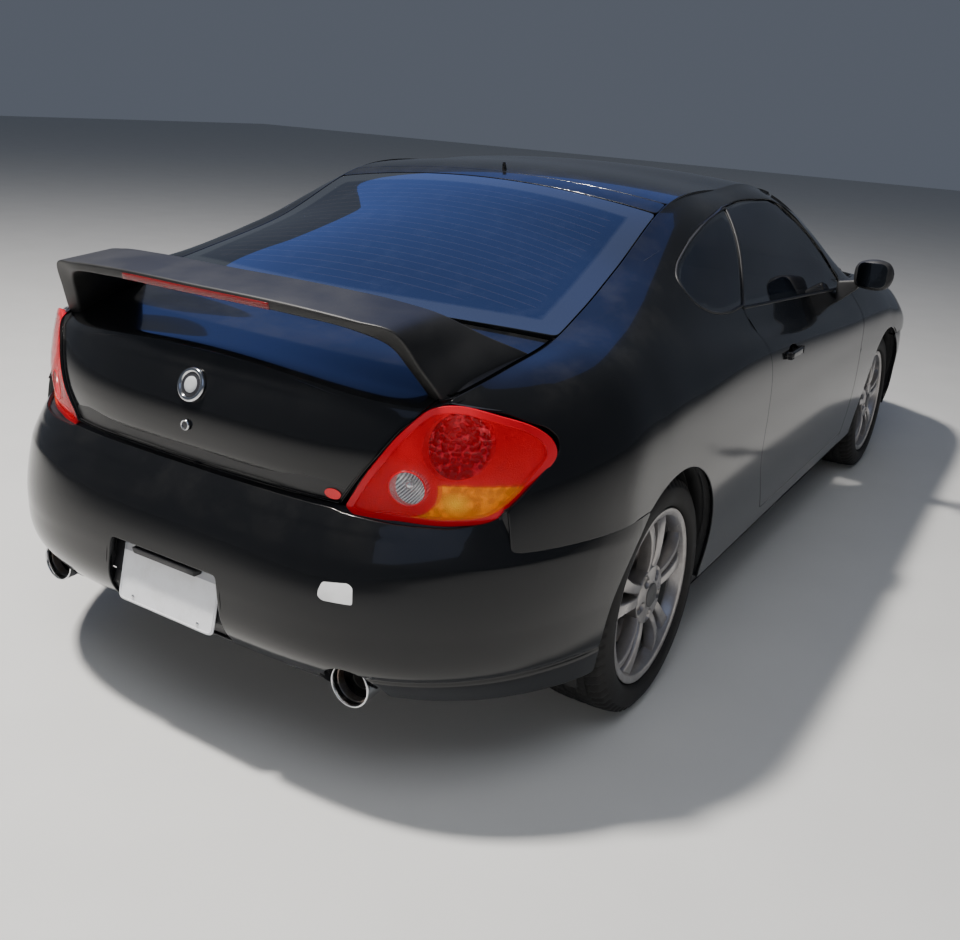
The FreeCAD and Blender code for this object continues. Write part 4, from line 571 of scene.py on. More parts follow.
def arc_side(x, radius, start, end, count=60):
    """Part of a circle round an axle, as outline points x, z between two angles in degrees."""
    angles = np.radians(np.linspace(start, end, count))
    return np.column_stack([x + radius * np.cos(angles), AXLE_Z + radius * np.sin(angles)])


def side_from_back(points, low, high):
    """Where outline points y, z meet the side surface between two stations: the crossing of y along x."""
    points = np.asarray(points, float)
    stations = np.linspace(low, high, 121)
    found = []
    for y, z in points:
        t = side_height(stations, np.full_like(stations, z))
        ys = side_surface(stations, t)[:, 1]
        order = np.argsort(ys)
        x = np.interp(y, ys[order], stations[order])
        found.append([x, np.interp(x, stations, t)])
    return np.array(found)


WINDOW_TOP = [[-1032, 1131], [-885, 1188], [-625, 1242], [-550, 1249], [-213, 1262], [56, 1232],
              [168, 1178], [292, 1092], [577, 900]]
WINDOW_REAR = [[-708, 978], [-800, 975], [-900, 983], [-994, 1003], [-1055, 1028], [-1088, 1058],
               [-1090, 1086], [-1032, 1131]]
WINDOW_LOW = [[577, 900], [445, 906], [-708, 978]]
LAMP_OUTLINE = np.array([
    [425, 676], [434, 666], [538, 661], [640, 660], [695, 671], [741, 718], [765, 765], [784, 813],
    [775, 845], [755, 867], [692, 895], [600, 909], [581, 904], [533, 853], [496, 794]], float)
HEADLAMP_OUTLINE = np.array([
    [372, 604], [520, 596], [690, 606], [772, 640], [800, 712], [770, 742], [600, 716], [470, 690],
    [400, 662]], float)

door_loop = closed_loop(
    on_side(straight([[639.5, 292 - GAP], [639.5, 896], [577, 897], [445, 904], [-690, 975]])),
    on_side(through([[-690 - GAP, 974], [-604 - GAP, 716], [-600 - GAP, 520], [-440, 292 - GAP]])), )
lamp_side = side_from_back(straight([
    [731, 706], [741, 718], [765, 765], [784, 813], [775, 845], [755, 867], [692, 895], [606, 908]], 12.0),
    -2000, -1780)
quarter_loop = closed_loop(
    straight([[645 + GAP, 0], [-985.3, 0]]),
    on_side(arc_side(REAR_AXLE, ARCH, -12.1, 121.2)),
    on_side(straight([[-1509, 612], [-1930, 612], [-1930, 700]])),
    lamp_side,
    straight([[lamp_side[-1][0] - 4, 960], [706, 960]]),
    on_side(straight([[693, 915], [690, 905], [646, 903], [577, 900]])),
    on_side(through(WINDOW_TOP[::-1])),
    on_side(through(WINDOW_REAR[::-1])),
    on_side(straight([[-708, 978], [-694, 977]])),
    on_side(through([[-697 + GAP, 974], [-610 + GAP, 716], [-606 + GAP, 520], [-446 + GAP, 286]])),
    on_side(straight([[-446, 286], [645, 286]])))
lamp_fender = straight([[640, 722], [770, 742], [800, 712], [772, 640], [706, 612]], 12.0)
lamp_fender = side_from_back(lamp_fender, 1560, 1960)
fender_loop = closed_loop(
    straight([[647.3, 0], [647.3, 40]]),
    on_side(straight([[647.3, 300], [647.3, 904], [693, 906]])),
    straight([[712, 960], [1862, 960]]),
    lamp_fender,
    on_side(straight([[1950, 606], [1396.6, 605]])),
    on_side(arc_side(FRONT_AXLE, ARCH, 56.3, 192.4)),
    straight([[858, 0], [650, 0]]))


HANDLE_X, HANDLE_Z = -400.0, 812.0
around = np.linspace(0, 2 * np.pi, 60, endpoint=False)
grip = np.column_stack([HANDLE_X + 60 * np.cos(around), HANDLE_Z + 25 * np.sin(around)])
grip = closed_loop(on_side(grip), step=5.0)
door_skin = sheet(side_surface, [door_loop, grip], -1, lift=LIFT, radius=2.5, depth=10.0)
both("door_skin", door_skin, PAINT, "door", "body_paint")
quarter_skin = sheet(side_surface, [quarter_loop], -1, lift=LIFT)
both("quarter_skin", quarter_skin, PAINT, "body", "body_paint")
fender_skin = sheet(side_surface, [fender_loop], -1, lift=LIFT)
both("fender_skin", fender_skin, PAINT, "body", "body_paint")
print("side panels", len(door_skin[0]), len(quarter_skin[0]), len(fender_skin[0]))

# %% [markdown]
# The roof and the hood are crowned skins between the two sides. The hatch is one pressing from the foot of
# its glass over the tail's edge down to the bumper, so it is laid out as a single grid whose rows bend
# over the edge; averaging the rows next to the bend gives it the radius of a real pressing.

# %% Roof, hood and hatch
def edge_half(x):
    """Half the width of the car at the upper edge of its side."""
    return smooth(EDGE[:, 0], EDGE[:, 1], x)


def arc_x(x_middle, x_side, y, half=760.0):
    """x of an arc across the car, from its middle and its place at the side."""
    drop = x_middle - x_side
    radius = (half ** 2 + drop ** 2) / (2 * abs(drop))
    return x_middle - np.sign(drop) * (radius - np.sqrt(radius ** 2 - y ** 2))


def crown_loop(front, back, inset):
    """Outline x, y between two arcs and the edges of the sides."""
    share = np.linspace(-1, 1, 121)

    def across(place):
        y = share * 560.0
        for _ in range(6):
            y = share * (edge_half(place(np.abs(share * y[-1]))[-1:]) - inset)
        return np.column_stack([place(y), y])

    front_row, back_row = across(front), across(back)
    x = np.linspace(back_row[-1, 0], front_row[-1, 0], 120)
    side = np.column_stack([x, edge_half(x) - inset])
    return closed_loop(front_row[::-1], side[::-1] * [1, -1], back_row, side)


RIM_INSET = 5.2
roof_loop = crown_loop(lambda y: arc_x(170 - GAP, 60 - GAP, y), lambda y: np.full_like(y, -831.0), 0.2)
roof_skin = sheet(deck_surface, [roof_loop], 1, lift=LIFT - 0.2)
new_piece("roof_skin", roof_skin, PAINT, "body", "body_paint")
hood_loop = crown_loop(
    lambda y: arc_x(2088 + GAP, 1935 + GAP, y), lambda y: arc_x(912 - GAP, 752 - GAP, y), RIM_INSET)
new_piece("hood_skin", sheet(hood_surface, [hood_loop], 1, lift=LIFT), PAINT, "hood", "body_paint")
strip_loop = crown_loop(lambda y: np.full_like(y, -838.0), lambda y: np.full_like(y, -903.0), RIM_INSET)
new_piece("hatch_top_skin", sheet(deck_surface, [strip_loop], 1, lift=LIFT), PAINT, "hatch", "body_paint")

LID_SIDE = np.array([[678, 413], [690, 419], [795, 490], [854, 527], [906, 574], [1000, 574]], float)
LID_FOOT, TAIL_HALF = 678.8, 571.0


def tail_edge(y):
    """Where the crown of the deck meets the rounded tail, for each y: the nearest of many trial stations."""
    trial = np.linspace(-2120, -1900, 441)
    found = []
    for value in y:
        z = deck_surface(trial, np.full_like(trial, value))[:, 2]
        miss = trial - tail_surface(end_across(TAIL, value, z), z)[:, 0]
        i = np.argmax(miss > 0)
        share = miss[i - 1] / (miss[i - 1] - miss[i] + 1e-9)
        found.append([trial[i - 1] + share * 0.5, z[i]])
    return np.array(found)


def hatch_grid():
    """Rows from the foot of the glass over the tail's edge and down the lid, each from side to side."""
    share = np.linspace(-1, 1, 141)
    edge = tail_edge(share * TAIL_HALF)
    glass = arc_x(-1703.0, -1539.0, share * 590.0)
    rows = []
    for g in np.linspace(1, 0, 46):
        x = edge[:, 0] + g * (glass - edge[:, 0])
        half = edge_half(x[-1:]) - RIM_INSET
        y = share * ((1 - g) * TAIL_HALF + g * half) if g < 0.12 else share * half
        rows.append(deck_surface(x, y))
    for f in np.linspace(0, 1, 56)[1:]:
        z = edge[:, 1] + f * (LID_FOOT - edge[:, 1])
        half = np.interp(z[-1], LID_SIDE[:, 0], LID_SIDE[:, 1]) + 0.6
        crease = 3.0 * np.exp(-((z - 898) / 9.0) ** 2) - 5.0 * np.exp(-((z - 700) / 16.0) ** 2)
        row = tail_surface(end_across(TAIL, share * half, z), z)
        row[:, 0] -= crease * np.clip((1 - np.abs(share)) * 6, 0, 1)
        rows.append(row)
    grid = np.array(rows)
    for _ in range(10):
        grid[39:53] = (grid[38:52] + 2 * grid[39:53] + grid[40:54]) / 4
    return grid


hatch_skin = grid_sheet(hatch_grid(), -1.0)
new_piece("hatch_skin", hatch_skin, PAINT, "hatch", "body_paint")

# %% [markdown]
# The bumpers are the same kind of skin on the rounded ends. Their outlines carry the wheel arches, the
# notches for the exhaust tips and the seat of the plate.

# %% Bumpers
def on_end(levels, points):
    """Outline points y, z turned into a rounded end's own values u, z."""
    points = np.asarray(points, float)
    return np.column_stack([end_across(levels, points[:, 0], points[:, 1]), points[:, 1]])


def arch_on_end(surface, axle, low, high):
    """The wheel arch on a rounded end: for each height, the u where the surface meets the arch circle."""
    z = np.linspace(low, high, 60)
    away = np.sqrt(np.maximum((ARCH + GAP) ** 2 - (z - AXLE_Z) ** 2, 0))
    u = np.linspace(500, 1560, 900)
    found = []
    for height, x in zip(z, axle + np.sign(axle) * away):
        xs = surface(u, np.full_like(u, height))[:, 0]
        order = np.argsort(xs)
        found.append([np.interp(x, xs[order], u[order]), height])
    return np.array(found)


def round_notch(y, z, radius, start, stop, count=24):
    """Part of a circle, as outline points y, z between two angles in degrees."""
    angle = np.radians(np.linspace(start, stop, count))
    return np.column_stack([y + radius * np.cos(angle), z + radius * np.sin(angle)])


def half_loop(levels, *runs):
    """A closed outline from the runs of its left half, from the middle above round to the middle below."""
    left = np.vstack([on_end(levels, run) if kind == "yz" else np.asarray(run, float) for kind, run in runs])
    return closed_loop(left, left[::-1] * [-1, 1])


# Heights of the seams between a bumper and the side, and of the bumpers' lower edges.
REAR_SEAM, FRONT_SEAM, REAR_FOOT, FRONT_FOOT = 611.0, 603.0, 257.0, 231.0
rear_arch = arch_on_end(rear_surface, REAR_AXLE, REAR_FOOT + 1, REAR_SEAM)
stations = np.linspace(400, 1560, 600)
seam_x = rear_surface(stations, np.full(600, REAR_SEAM))[:, 0]
u_corner = np.interp(-1930, seam_x, stations)
rear_loop = half_loop(
    REAR_BUMPER,
    ("yz", straight([[0, 668], [408, 668]])),
    ("yz", straight([[414, 666], [425, 664], [538, 658], [640, 657], [696, 668], [728, 690]])),
    ("uz", straight([[u_corner - 6, 660], [u_corner, REAR_SEAM]])),
    ("uz", rear_arch[::-1]),
    ("uz", straight([[rear_arch[0][0], REAR_FOOT], [rear_arch[0][0] - 60, REAR_FOOT]])),
    ("yz", straight([[700, REAR_FOOT], [536, REAR_FOOT]])),
    ("yz", round_notch(478, 284, 61, -26, 168)),
    ("yz", straight([[417, 290], [409, 302], [0, 302]])),
)
pocket = closed_loop(straight([[-168.4, 480], [168.4, 480], [191.4, 311], [-191.4, 311], [-168.4, 480]]))
pocket = on_end(REAR_BUMPER, pocket)
# Height, and how far the shelf between its two creases stands out there. The lip and the groove lie lower.
SHELF = np.array([[440, 0], [540, 3.6], [590, 5.0], [594, 4.6], [636, 0.0], [640, 0.6]])
LIP_Z, GROOVE_Z = 318, 326


def bumper_surface(u, z):
    """The rounded end with a shelf between two creases, and below each corner a groove above a fuller lip."""
    points = rear_surface(u, z)
    fade = np.clip((1330 - np.abs(u)) / 200, 0, 1)
    drop = 10.0 * np.clip(np.abs(u) / 1300, 0, 1)
    raised = np.interp(z + drop, *SHELF.T) * fade
    corner = np.clip((np.abs(u) - 520) / 60, 0, 1) * fade
    lip, groove = 3.0 / (1 + np.exp((z - LIP_Z) / 2.0)), 2.5 * np.exp(-((z - GROOVE_Z) / 6.0) ** 2)
    raised = raised + corner * (lip - groove)
    flat = unit((points - [REAR_START, 0, 0]) * [1, 1, 0], least=1)
    return points + flat * raised[:, None]


rear_skin = sheet(bumper_surface, [rear_loop, pocket], -1, spacing=9.0, lift=LIFT)
new_piece("rear_bumper_skin", rear_skin, PAINT, "body", "body_paint")

front_arch = arch_on_end(nose_surface, FRONT_AXLE, FRONT_FOOT + 1, FRONT_SEAM)
front_x = nose_surface(stations, np.full(600, FRONT_SEAM))[:, 0]
u_front = np.interp(-1950, -front_x, stations)
front_loop = half_loop(
    NOSE,
    ("yz", straight([[0, 668], [300, 655], [372, 604], [520, 596], [690, 604]])),
    ("uz", straight([[u_front, FRONT_SEAM], [front_arch[-1][0], FRONT_SEAM]])),
    ("uz", front_arch[::-1]),
    ("uz", straight([[front_arch[0][0], FRONT_FOOT], [0, FRONT_FOOT]])),
)
holes = [straight(outline + outline[:1]) for outline in (
    [[-430, 285], [430, 285], [390, 440], [-390, 440]], [[-330, 584], [330, 584], [296, 632], [-296, 632]])]
holes += [round_notch(side * 610, 372, 46, 0, 354, 48) for side in (1, -1)]
holes = [on_end(NOSE, closed_loop(hole)) for hole in holes]
front_skin = sheet(nose_surface, [front_loop] + holes, 1, spacing=16.0, lift=LIFT)
new_piece("front_bumper_skin", front_skin, PAINT, "body", "body_paint")
print("skins", len(hatch_skin[0]), len(rear_skin[0]), len(front_skin[0]))

# %% [markdown]
# The wing is one moulding: a thin blade whose ends turn down and widen into feet on the lid. Four corner
# lines run from foot to foot, a cubic goes through their stations, and every station becomes a rounded
# four-sided loop.

# %% Wing
def rounded_loops(corners, radius, samples=5):
    """Four-sided loops with each corner replaced by a quadratic curve that starts and ends a radius away."""
    before, after = np.roll(corners, 1, axis=1), np.roll(corners, -1, axis=1)
    to_before, to_after = before - corners, after - corners
    size_before = np.linalg.norm(to_before, axis=2, keepdims=True)
    size_after = np.linalg.norm(to_after, axis=2, keepdims=True)
    reach = np.minimum(radius, 0.42 * np.minimum(size_before, size_after))
    start = corners + to_before / size_before * reach
    stop = corners + to_after / size_after * reach
    s = np.linspace(0, 1, samples)[:, None]
    start, middle, stop = (points[:, :, None] for points in (start, corners, stop))
    curve = (1 - s) ** 2 * start + 2 * s * (1 - s) * middle + s ** 2 * stop
    return curve.reshape(len(corners), -1, 3)


def sweep(loops):
    """Loops joined into a closed skin with a flat cap at each end, its faces turned outward."""
    rows, columns = loops.shape[:2]
    faces = grid_faces(rows, columns, closed_columns=True).tolist()
    faces += [list(range(columns))[::-1], list(range((rows - 1) * columns, rows * columns))]
    return outward(loops.reshape(-1, 3), faces)


def outward(points, faces):
    """Faces turned round if the volume they enclose, a sum of tetrahedra from the middle, is negative."""
    volume = 0.0
    middle = points.mean(axis=0)
    for face in faces:
        a = points[face[0]] - middle
        for i in range(1, len(face) - 1):
            volume += np.dot(a, np.cross(points[face[i]] - middle, points[face[i + 1]] - middle))
    return points, [list(face)[::-1] if volume < 0 else list(face) for face in faces]


def corner_rows(*corners):
    """Corners given as x, y, z, each a number or one value for every station, as one table."""
    return np.stack([np.stack(np.broadcast_arrays(*corner), 1) for corner in corners], 1).astype(float)


def bar(radius, *corners, samples=5):
    """A closed four-sided bar with rounded corner lines."""
    return sweep(rounded_loops(corner_rows(*corners), radius, samples))


WING = np.array([
    [[-2112, 0, 1086], [-1968, 0, 1108], [-1986, 0, 1090], [-2108, 0, 1063]],
    [[-2100, 280, 1082], [-1950, 280, 1104], [-1968, 280, 1086], [-2096, 280, 1059]],
    [[-2082, 430, 1071], [-1924, 430, 1093], [-1936, 425, 1074], [-2074, 425, 1047]],
    [[-2062, 514, 1058], [-1896, 514, 1076], [-1890, 478, 1050], [-2038, 484, 1022]],
    [[-2020, 551, 985], [-1800, 570, 1024], [-1800, 524, 1006], [-2002, 516, 968]],
    [[-1978, 582, 915], [-1690, 628, 972], [-1712, 572, 960], [-1962, 548, 900]],
    [[-1960, 592, 880], [-1650, 636, 950], [-1690, 580, 940], [-1944, 560, 866]],
], float)


def wing_corners(count=161):
    """The corner lines of the whole blade: the table and its mirror image, and a cubic through both."""
    stations = np.concatenate([(WING * [1, -1, 1])[:0:-1], WING])
    along = run_length(stations[:, 0])
    return smooth(along, stations, np.linspace(0, along[-1], count))


wing_lines = wing_corners()
new_piece("wing_skin", sweep(rounded_loops(wing_lines, 7.0)), WING_PAINT, "hatch", "body_paint", "wing")


def red_lens():
    """Red lens: a clear-coated red skin, ribbed finely on its inside."""
    f = Finish("red_lens", coat_weight=0.35, coat_roughness=0.02, alpha=0.75)
    rib = f.wave(60.0, "Y")
    f.set("Base Color", f.blend(rib * 0.5 + f.noise(40.0) * 0.3, (0.14, 0.002, 0.004), (0.30, 0.006, 0.008)))
    f.set("Roughness", 0.14 + rib * 0.12)
    f.bump(rib, 0.25, 0.0006)
    return f.material


RED_LENS = red_lens()
strip = wing_lines[np.abs(wing_lines[:, 0, 1]) < 226]
top, fall = strip[:, 0], strip[:, 3] - strip[:, 0]
corners = (0.30, -2), (0.30, 9), (0.94, 9), (0.94, -2)
lens = np.stack([top + fall * share + [x, 0, 0] for share, x in corners], axis=1)
lens = sweep(rounded_loops(lens, 2.0, 3))
new_piece("brake_lens", lens, RED_LENS, "hatch", "lamp_red", "brake_strip")

# %% [markdown]
# The windows are closed panes of dark glass a few millimetres thick. The black border that hides the glue
# is printed on the inside, so it is only a darker base colour near the rim, taken from a value stored per
# point.

# %% Glass
def glass_finish(name, alpha, lines=False, gloss=0.4):
    """Tinted glass: dark and part see-through, with a black printed border and, behind, thin heater lines."""
    f = Finish(name, roughness=0.03, coat_weight=gloss, coat_roughness=0.01, specular_ior_level=0.4)
    border = f.node("ShaderNodeAttribute", {"attribute_name": "border"})["Fac"]
    edge = f.spread(border, 0.45, 0.55)
    dust = f.spread(f.noise(14.0, 6.0, 0.7), 0.5, 0.8, 0.0, 0.05)
    clear = f.blend(dust, (0.004, 0.006, 0.012), (0.10, 0.10, 0.10))
    opaque = alpha + edge * (1.0 - alpha) + dust
    if lines:
        line = f.spread(f.wave(9.5), 0.985, 0.995) * f.spread(border, 0.25, 0.2)
        clear = f.blend(line * 0.45, clear, (0.035, 0.026, 0.020))
        opaque = opaque + line * 0.1
    f.set("Base Color", f.blend(edge, clear, (0.016, 0.019, 0.024)))
    f.set("Alpha", opaque.maths("MINIMUM", 1.0))
    f.set("Roughness", 0.02 + dust * 0.8)
    f.bump(f.noise(2.2, 1.0), 0.05, 0.002)
    return f.material


REAR_GLASS = glass_finish("rear_glass", 0.90, True, 0.9)
SIDE_GLASS = glass_finish("side_glass", 0.84)
FRONT_GLASS = glass_finish("front_glass", 0.35)


def shrink(loop, distance):
    """An outline moved inward, square to the line through each point's neighbours."""
    run = unit(np.roll(loop, -1, axis=0) - np.roll(loop, 1, axis=0))
    return loop + np.column_stack([-run[:, 1], run[:, 0]]) * distance


def points_of(mesh, kind="co"):
    """Places of a mesh's points, or their normals, as a table in metres."""
    values = np.empty(len(mesh.vertices) * 3)
    mesh.vertices.foreach_get(kind, values)
    return values.reshape(-1, 3)


def set_border(piece, loop3d, width):
    """Store on each point 1 at the rim of a pane, falling to 0 at twice the width of its border."""
    mesh = piece.data
    points = points_of(mesh) / MM
    away = np.full(len(points), 1e9)
    for start in range(0, len(loop3d), 60):
        near = np.linalg.norm(points[:, None] - loop3d[None, start:start + 60], axis=2).min(axis=1)
        away = np.minimum(away, near)
    value = mesh.attributes.new("border", "FLOAT", "POINT")
    value.data.foreach_set("value", np.clip(1 - away / (2 * width), 0, 1))


def pane(name, surface, loop, outward_sign, lift, material, body, border, *nodes, flip=False):
    """A closed pane of glass inside an outline, on the left or mirrored, with its border stored on it."""
    parts = slab(surface, loop, outward_sign, spacing=22.0, lift=lift, radius=1.2, depth=4.0)
    rim = surface(*loop.T)
    if flip:
        parts, rim = mirrored(parts), rim * [1, -1, 1]
    set_border(new_piece(name, parts, material, body, "side_glass", *nodes), rim, border)


rear_pane = crown_loop(lambda y: np.full_like(y, -909.5), lambda y: arc_x(-1698.5, -1534.5, y), 7.0)
pane("rear_pane", deck_surface, rear_pane, 1, 1.0, REAR_GLASS, "hatch", 62, "rear_glass")
screen = crown_loop(lambda y: arc_x(880, 716, y), lambda y: arc_x(175, 65, y), 3.5)
pane("windscreen_pane", deck_surface, screen, 1, 0.8, FRONT_GLASS, "body", 45)

window = shrink(closed_loop(through(WINDOW_TOP), straight(WINDOW_LOW), through(WINDOW_REAR)), 5.0)


def b_line(z, shift):
    """x of the slanted line between the door's glass and the fixed one, at some height."""
    return -706 + (z - 940) * (216 / 360) + shift


door_part = closed_loop(on_side(window[window[:, 0] > b_line(window[:, 1], 3)]))
rear_part = closed_loop(on_side(window[window[:, 0] < b_line(window[:, 1], -4)]))
for side, flip in (("left", False), ("right", True)):
    pane("door_pane_" + side, side_surface, door_part, -1, -3.5, SIDE_GLASS, "door_" + side, 10,
         "door_glass_" + side, flip=flip)
    fixed = [] if flip else ["fixed_glass"]
    pane("quarter_pane_" + side, side_surface, rear_part, -1, -2.0, SIDE_GLASS, "body", 16, *fixed, flip=flip)


def tube_round(path, radius, closed=True, sides=8):
    """A tube of small rings along a path: each ring stands square to the line through its neighbours."""
    run = np.roll(path, -1, axis=0) - np.roll(path, 1, axis=0)
    if not closed:
        run[0], run[-1] = path[1] - path[0], path[-1] - path[-2]
    run = unit(run)
    up = np.where(np.abs(run[:, 2:3]) > 0.9, [[1.0, 0, 0]], [[0, 0, 1.0]])
    first = unit(np.cross(run, up))
    second = np.cross(run, first)
    angle = np.linspace(0, 2 * np.pi, sides, endpoint=False)[None, :, None]
    rings = path[:, None] + radius * (np.cos(angle) * first[:, None] + np.sin(angle) * second[:, None])
    faces = grid_faces(len(path), sides, closed_rows=closed, closed_columns=True).tolist()
    if not closed:
        faces += [list(range(sides))[::-1], list(range((len(path) - 1) * sides, len(path) * sides))]
    return outward(rings.reshape(-1, 3), faces)


trim = side_surface(*closed_loop(on_side(window[window[:, 0] < b_line(window[:, 1], 2)])).T)
both("quarter_window_trim", tube_round(trim, 4.0), TRIM, "body", "black_trim")
print("glass and trim done")

# %% [markdown]
# Each tail lamp has three layers: a coloured reflector with bowls pressed into it, a clear skin over it
# and a raised red border. The colours go by region: amber low on the outside, clear round the reversing
# bulb, red elsewhere, so both layers read the same three masks.

# %% Tail lamps
# Reversing bowl and brake bowl: distance from the middle of the car, height, and width divided by height.
REVERSE_BOWL, BRAKE_BOWL = (552.0, 735.0, 0.906), (631.0, 829.0, 0.83)


def lamp_away(f, out, y, z, wide):
    """Distance from a bowl: the root of the sum of both squares, the one across divided by its width."""
    across, up = (out - y * MM) / wide, f.z - z * MM
    return (across.maths("POWER", 2.0) + up.maths("POWER", 2.0)).maths("SQRT")


def lamp_masks(f, out):
    """Masks of the clear, the amber and the cut-glass part of a tail lamp."""
    reverse = lamp_away(f, out, *REVERSE_BOWL)
    clear = f.spread(reverse, 0.0385, 0.0375)
    amber = f.spread(f.z, 0.7495, 0.7475) * f.spread(reverse, 0.062, 0.064) * f.spread(out, 0.555, 0.56)
    return clear, amber, f.spread(lamp_away(f, out, *BRAKE_BOWL), 0.071, 0.0695)


def reflector_finish():
    """Pressed reflector: metallic colour by region over small cells that break up the light, with a painted
    highlight in the amber, painted glints on the cut glass and a painted reflection in stripes on the silver.
    """
    f = Finish("lamp_reflector", metallic=0.55, specular_ior_level=0.8)
    out = f.y.maths("ABSOLUTE")
    clear, amber, crystal = lamp_masks(f, out)
    # A painted highlight: a spot low in the amber is painted bright yellow, as if light fell on it.
    painted_highlight = f.spread(lamp_away(f, out, 632.0, 702.0, 1.0), 0.030, 0.004)
    cells = f.node("ShaderNodeTexVoronoi", Vector=f.place, Scale=330.0)["Distance"]
    facets = f.node("ShaderNodeTexVoronoi", Vector=f.place, Scale=95.0, Randomness=1.0)["Distance"]
    ribs = ((out - f.z * 0.7) * 900.0).maths("SINE") * 0.5 + 0.5
    plain = f.blend(f.spread(out, 0.70, 0.74), (0.55, 0.004, 0.012), (0.95, 0.012, 0.03))
    # The cut glass is dark red, and its facets carry bright pink painted glints.
    base = f.blend(crystal, plain, (0.10, 0.001, 0.004))
    base = f.blend(f.spread(facets, 0.55, 1.0) * crystal, base, (1.0, 0.06, 0.10))
    gold = f.blend(f.spread(f.noise(55.0, 3.0), 0.42, 0.60), (0.42, 0.10, 0.002), (1.0, 0.34, 0.006))
    base = f.blend(amber, base, f.blend(painted_highlight, gold, (1.0, 0.80, 0.05)))
    # Round the reversing bulb the ribs are painted in dark and bright stripes: a painted reflection on the
    # silver.
    silver = f.blend(f.spread(ribs, 0.35, 0.65), (0.10, 0.10, 0.11), (0.85, 0.86, 0.88))
    f.set("Base Color", f.blend(clear, base, silver))
    f.set("Roughness", 0.34 - crystal * 0.22 - clear * 0.18)
    grain = cells * (1.0 - crystal) * (1.0 - clear) * 0.7
    f.bump(grain + facets * crystal * 3.0 + ribs * clear * 1.2, 0.9, 0.002)
    return f.material


def lens_finish():
    """Clear skin of the lamp, tinted by region; mostly see-through, with a hard gloss."""
    f = Finish("lamp_lens", roughness=0.05, specular_ior_level=0.16)
    clear, amber, crystal = lamp_masks(f, f.y.maths("ABSOLUTE"))
    base = f.blend(amber, (0.62, 0.004, 0.012), (1.0, 0.30, 0.004))
    f.set("Base Color", f.blend(clear, base, (0.9, 0.9, 0.92)))
    dust = f.spread(f.noise(30.0, 4.0), 0.5, 0.8, 0.0, 0.05)
    f.set("Alpha", 0.42 - crystal * 0.26 - clear * 0.36 - amber * 0.20 + dust)
    f.set("Roughness", 0.05 + f.spread(f.noise(200.0, 3.0), 0.4, 0.8, 0.0, 0.10))
    return f.material


def rim_finish():
    """Plain red plastic of the raised border round a lamp."""
    f = Finish("lamp_border", specular_ior_level=0.22)
    f.set("Base Color", f.blend(f.noise(9.0), (0.42, 0.003, 0.010), (0.52, 0.004, 0.014)))
    f.set("Roughness", 0.18 + f.noise(300.0) * 0.1)
    return f.material


def clear_finish():
    """Clear plastic with a thin haze that makes it a little less see-through in patches."""
    f = Finish("clear_lens", coat_weight=1.0, coat_roughness=0.02)
    f.set("Base Color", f.blend(f.noise(50.0), (0.75, 0.77, 0.8), (0.9, 0.92, 0.95)))
    f.set("Alpha", 0.12 + f.spread(f.noise(20.0, 5.0), 0.5, 0.9, 0.0, 0.15))
    f.set("Roughness", 0.04 + f.noise(100.0) * 0.06)
    return f.material


def silver_finish():
    """Bright metal layer of a reflector, with fine pressed ribs."""
    f = Finish("lamp_silver", metallic=0.9)
    f.set("Base Color", f.blend(f.noise(30.0), (0.55, 0.56, 0.58), (0.75, 0.76, 0.78)))
    f.set("Roughness", 0.16 + f.noise(120.0) * 0.15)
    f.bump(f.wave(70.0), 0.3, 0.001)
    return f.material


LAMP_BORDER, CLEAR_LENS, SILVER = rim_finish(), clear_finish(), silver_finish()
lamp_yz = shrink(closed_loop(through(np.vstack([LAMP_OUTLINE, LAMP_OUTLINE[:1]])), step=4.0, rounds=2), 0.5)
outer_loop = on_end(TAIL, lamp_yz)


def bowl(points, centre_y, centre_z, wide, radius):
    """1 in the middle of a bowl, falling with the square of the distance to 0 at its radius."""
    away = ((points[:, 1] - centre_y) / wide) ** 2 + (points[:, 2] - centre_z) ** 2
    return np.clip(1 - away / radius ** 2, 0, 1)


def lamp_floor(u, z):
    """The reflector: the tail surface sunk by a tray's depth, with a bowl in it at each bulb."""
    points = tail_surface(u, z)
    sink = 13 + 26 * bowl(points, *BRAKE_BOWL, 71) + 22 * bowl(points, *REVERSE_BOWL, 38)
    return points - facing(tail_surface, np.column_stack([u, z]), -1) * sink[:, None]


lens_loop, inner_loop = on_end(TAIL, shrink(lamp_yz, 11.0)), on_end(TAIL, shrink(lamp_yz, 12.0))
border = sheet(tail_surface, [outer_loop, lens_loop], -1, spacing=6.0, lift=0.4, radius=2.5, depth=13.0)
skin = slab(tail_surface, inner_loop, -1, spacing=9.0, lift=1.0, radius=1.0, depth=2.5)
tray = slab(lamp_floor, outer_loop, -1, spacing=4.5, lift=0.0, radius=0.5, depth=4.0)
both("tail_lamp_border", border, LAMP_BORDER, "body", "lamp_red")
both("tail_lamp_lens", skin, lens_finish(), "body", "lamp_red")
both("tail_lamp_reflector", tray, reflector_finish(), "body", "lamp_red", "tail_lamps")


def ball(centre, radius, squash=(1, 1, 1), rows=14, columns=24):
    """Rings from pole to pole: across goes as the sine and along as the cosine of the polar angle."""
    polar = np.linspace(0, np.pi, rows)[1:-1, None]
    turn = np.linspace(0, 2 * np.pi, columns, endpoint=False)[None]
    grid = np.stack([np.sin(polar) * np.cos(turn), np.sin(polar) * np.sin(turn), np.cos(polar) + 0 * turn], 2)
    points = np.vstack([grid.reshape(-1, 3), [[0, 0, 1], [0, 0, -1]]]) * radius * np.array(squash) + centre
    faces = grid_faces(rows - 2, columns, closed_columns=True).tolist()
    count = (rows - 2) * columns
    for i in range(columns):
        faces.append([count, (i + 1) % columns, i])
        faces.append([count + 1, count - columns + i, count - columns + (i + 1) % columns])
    return outward(points, faces)


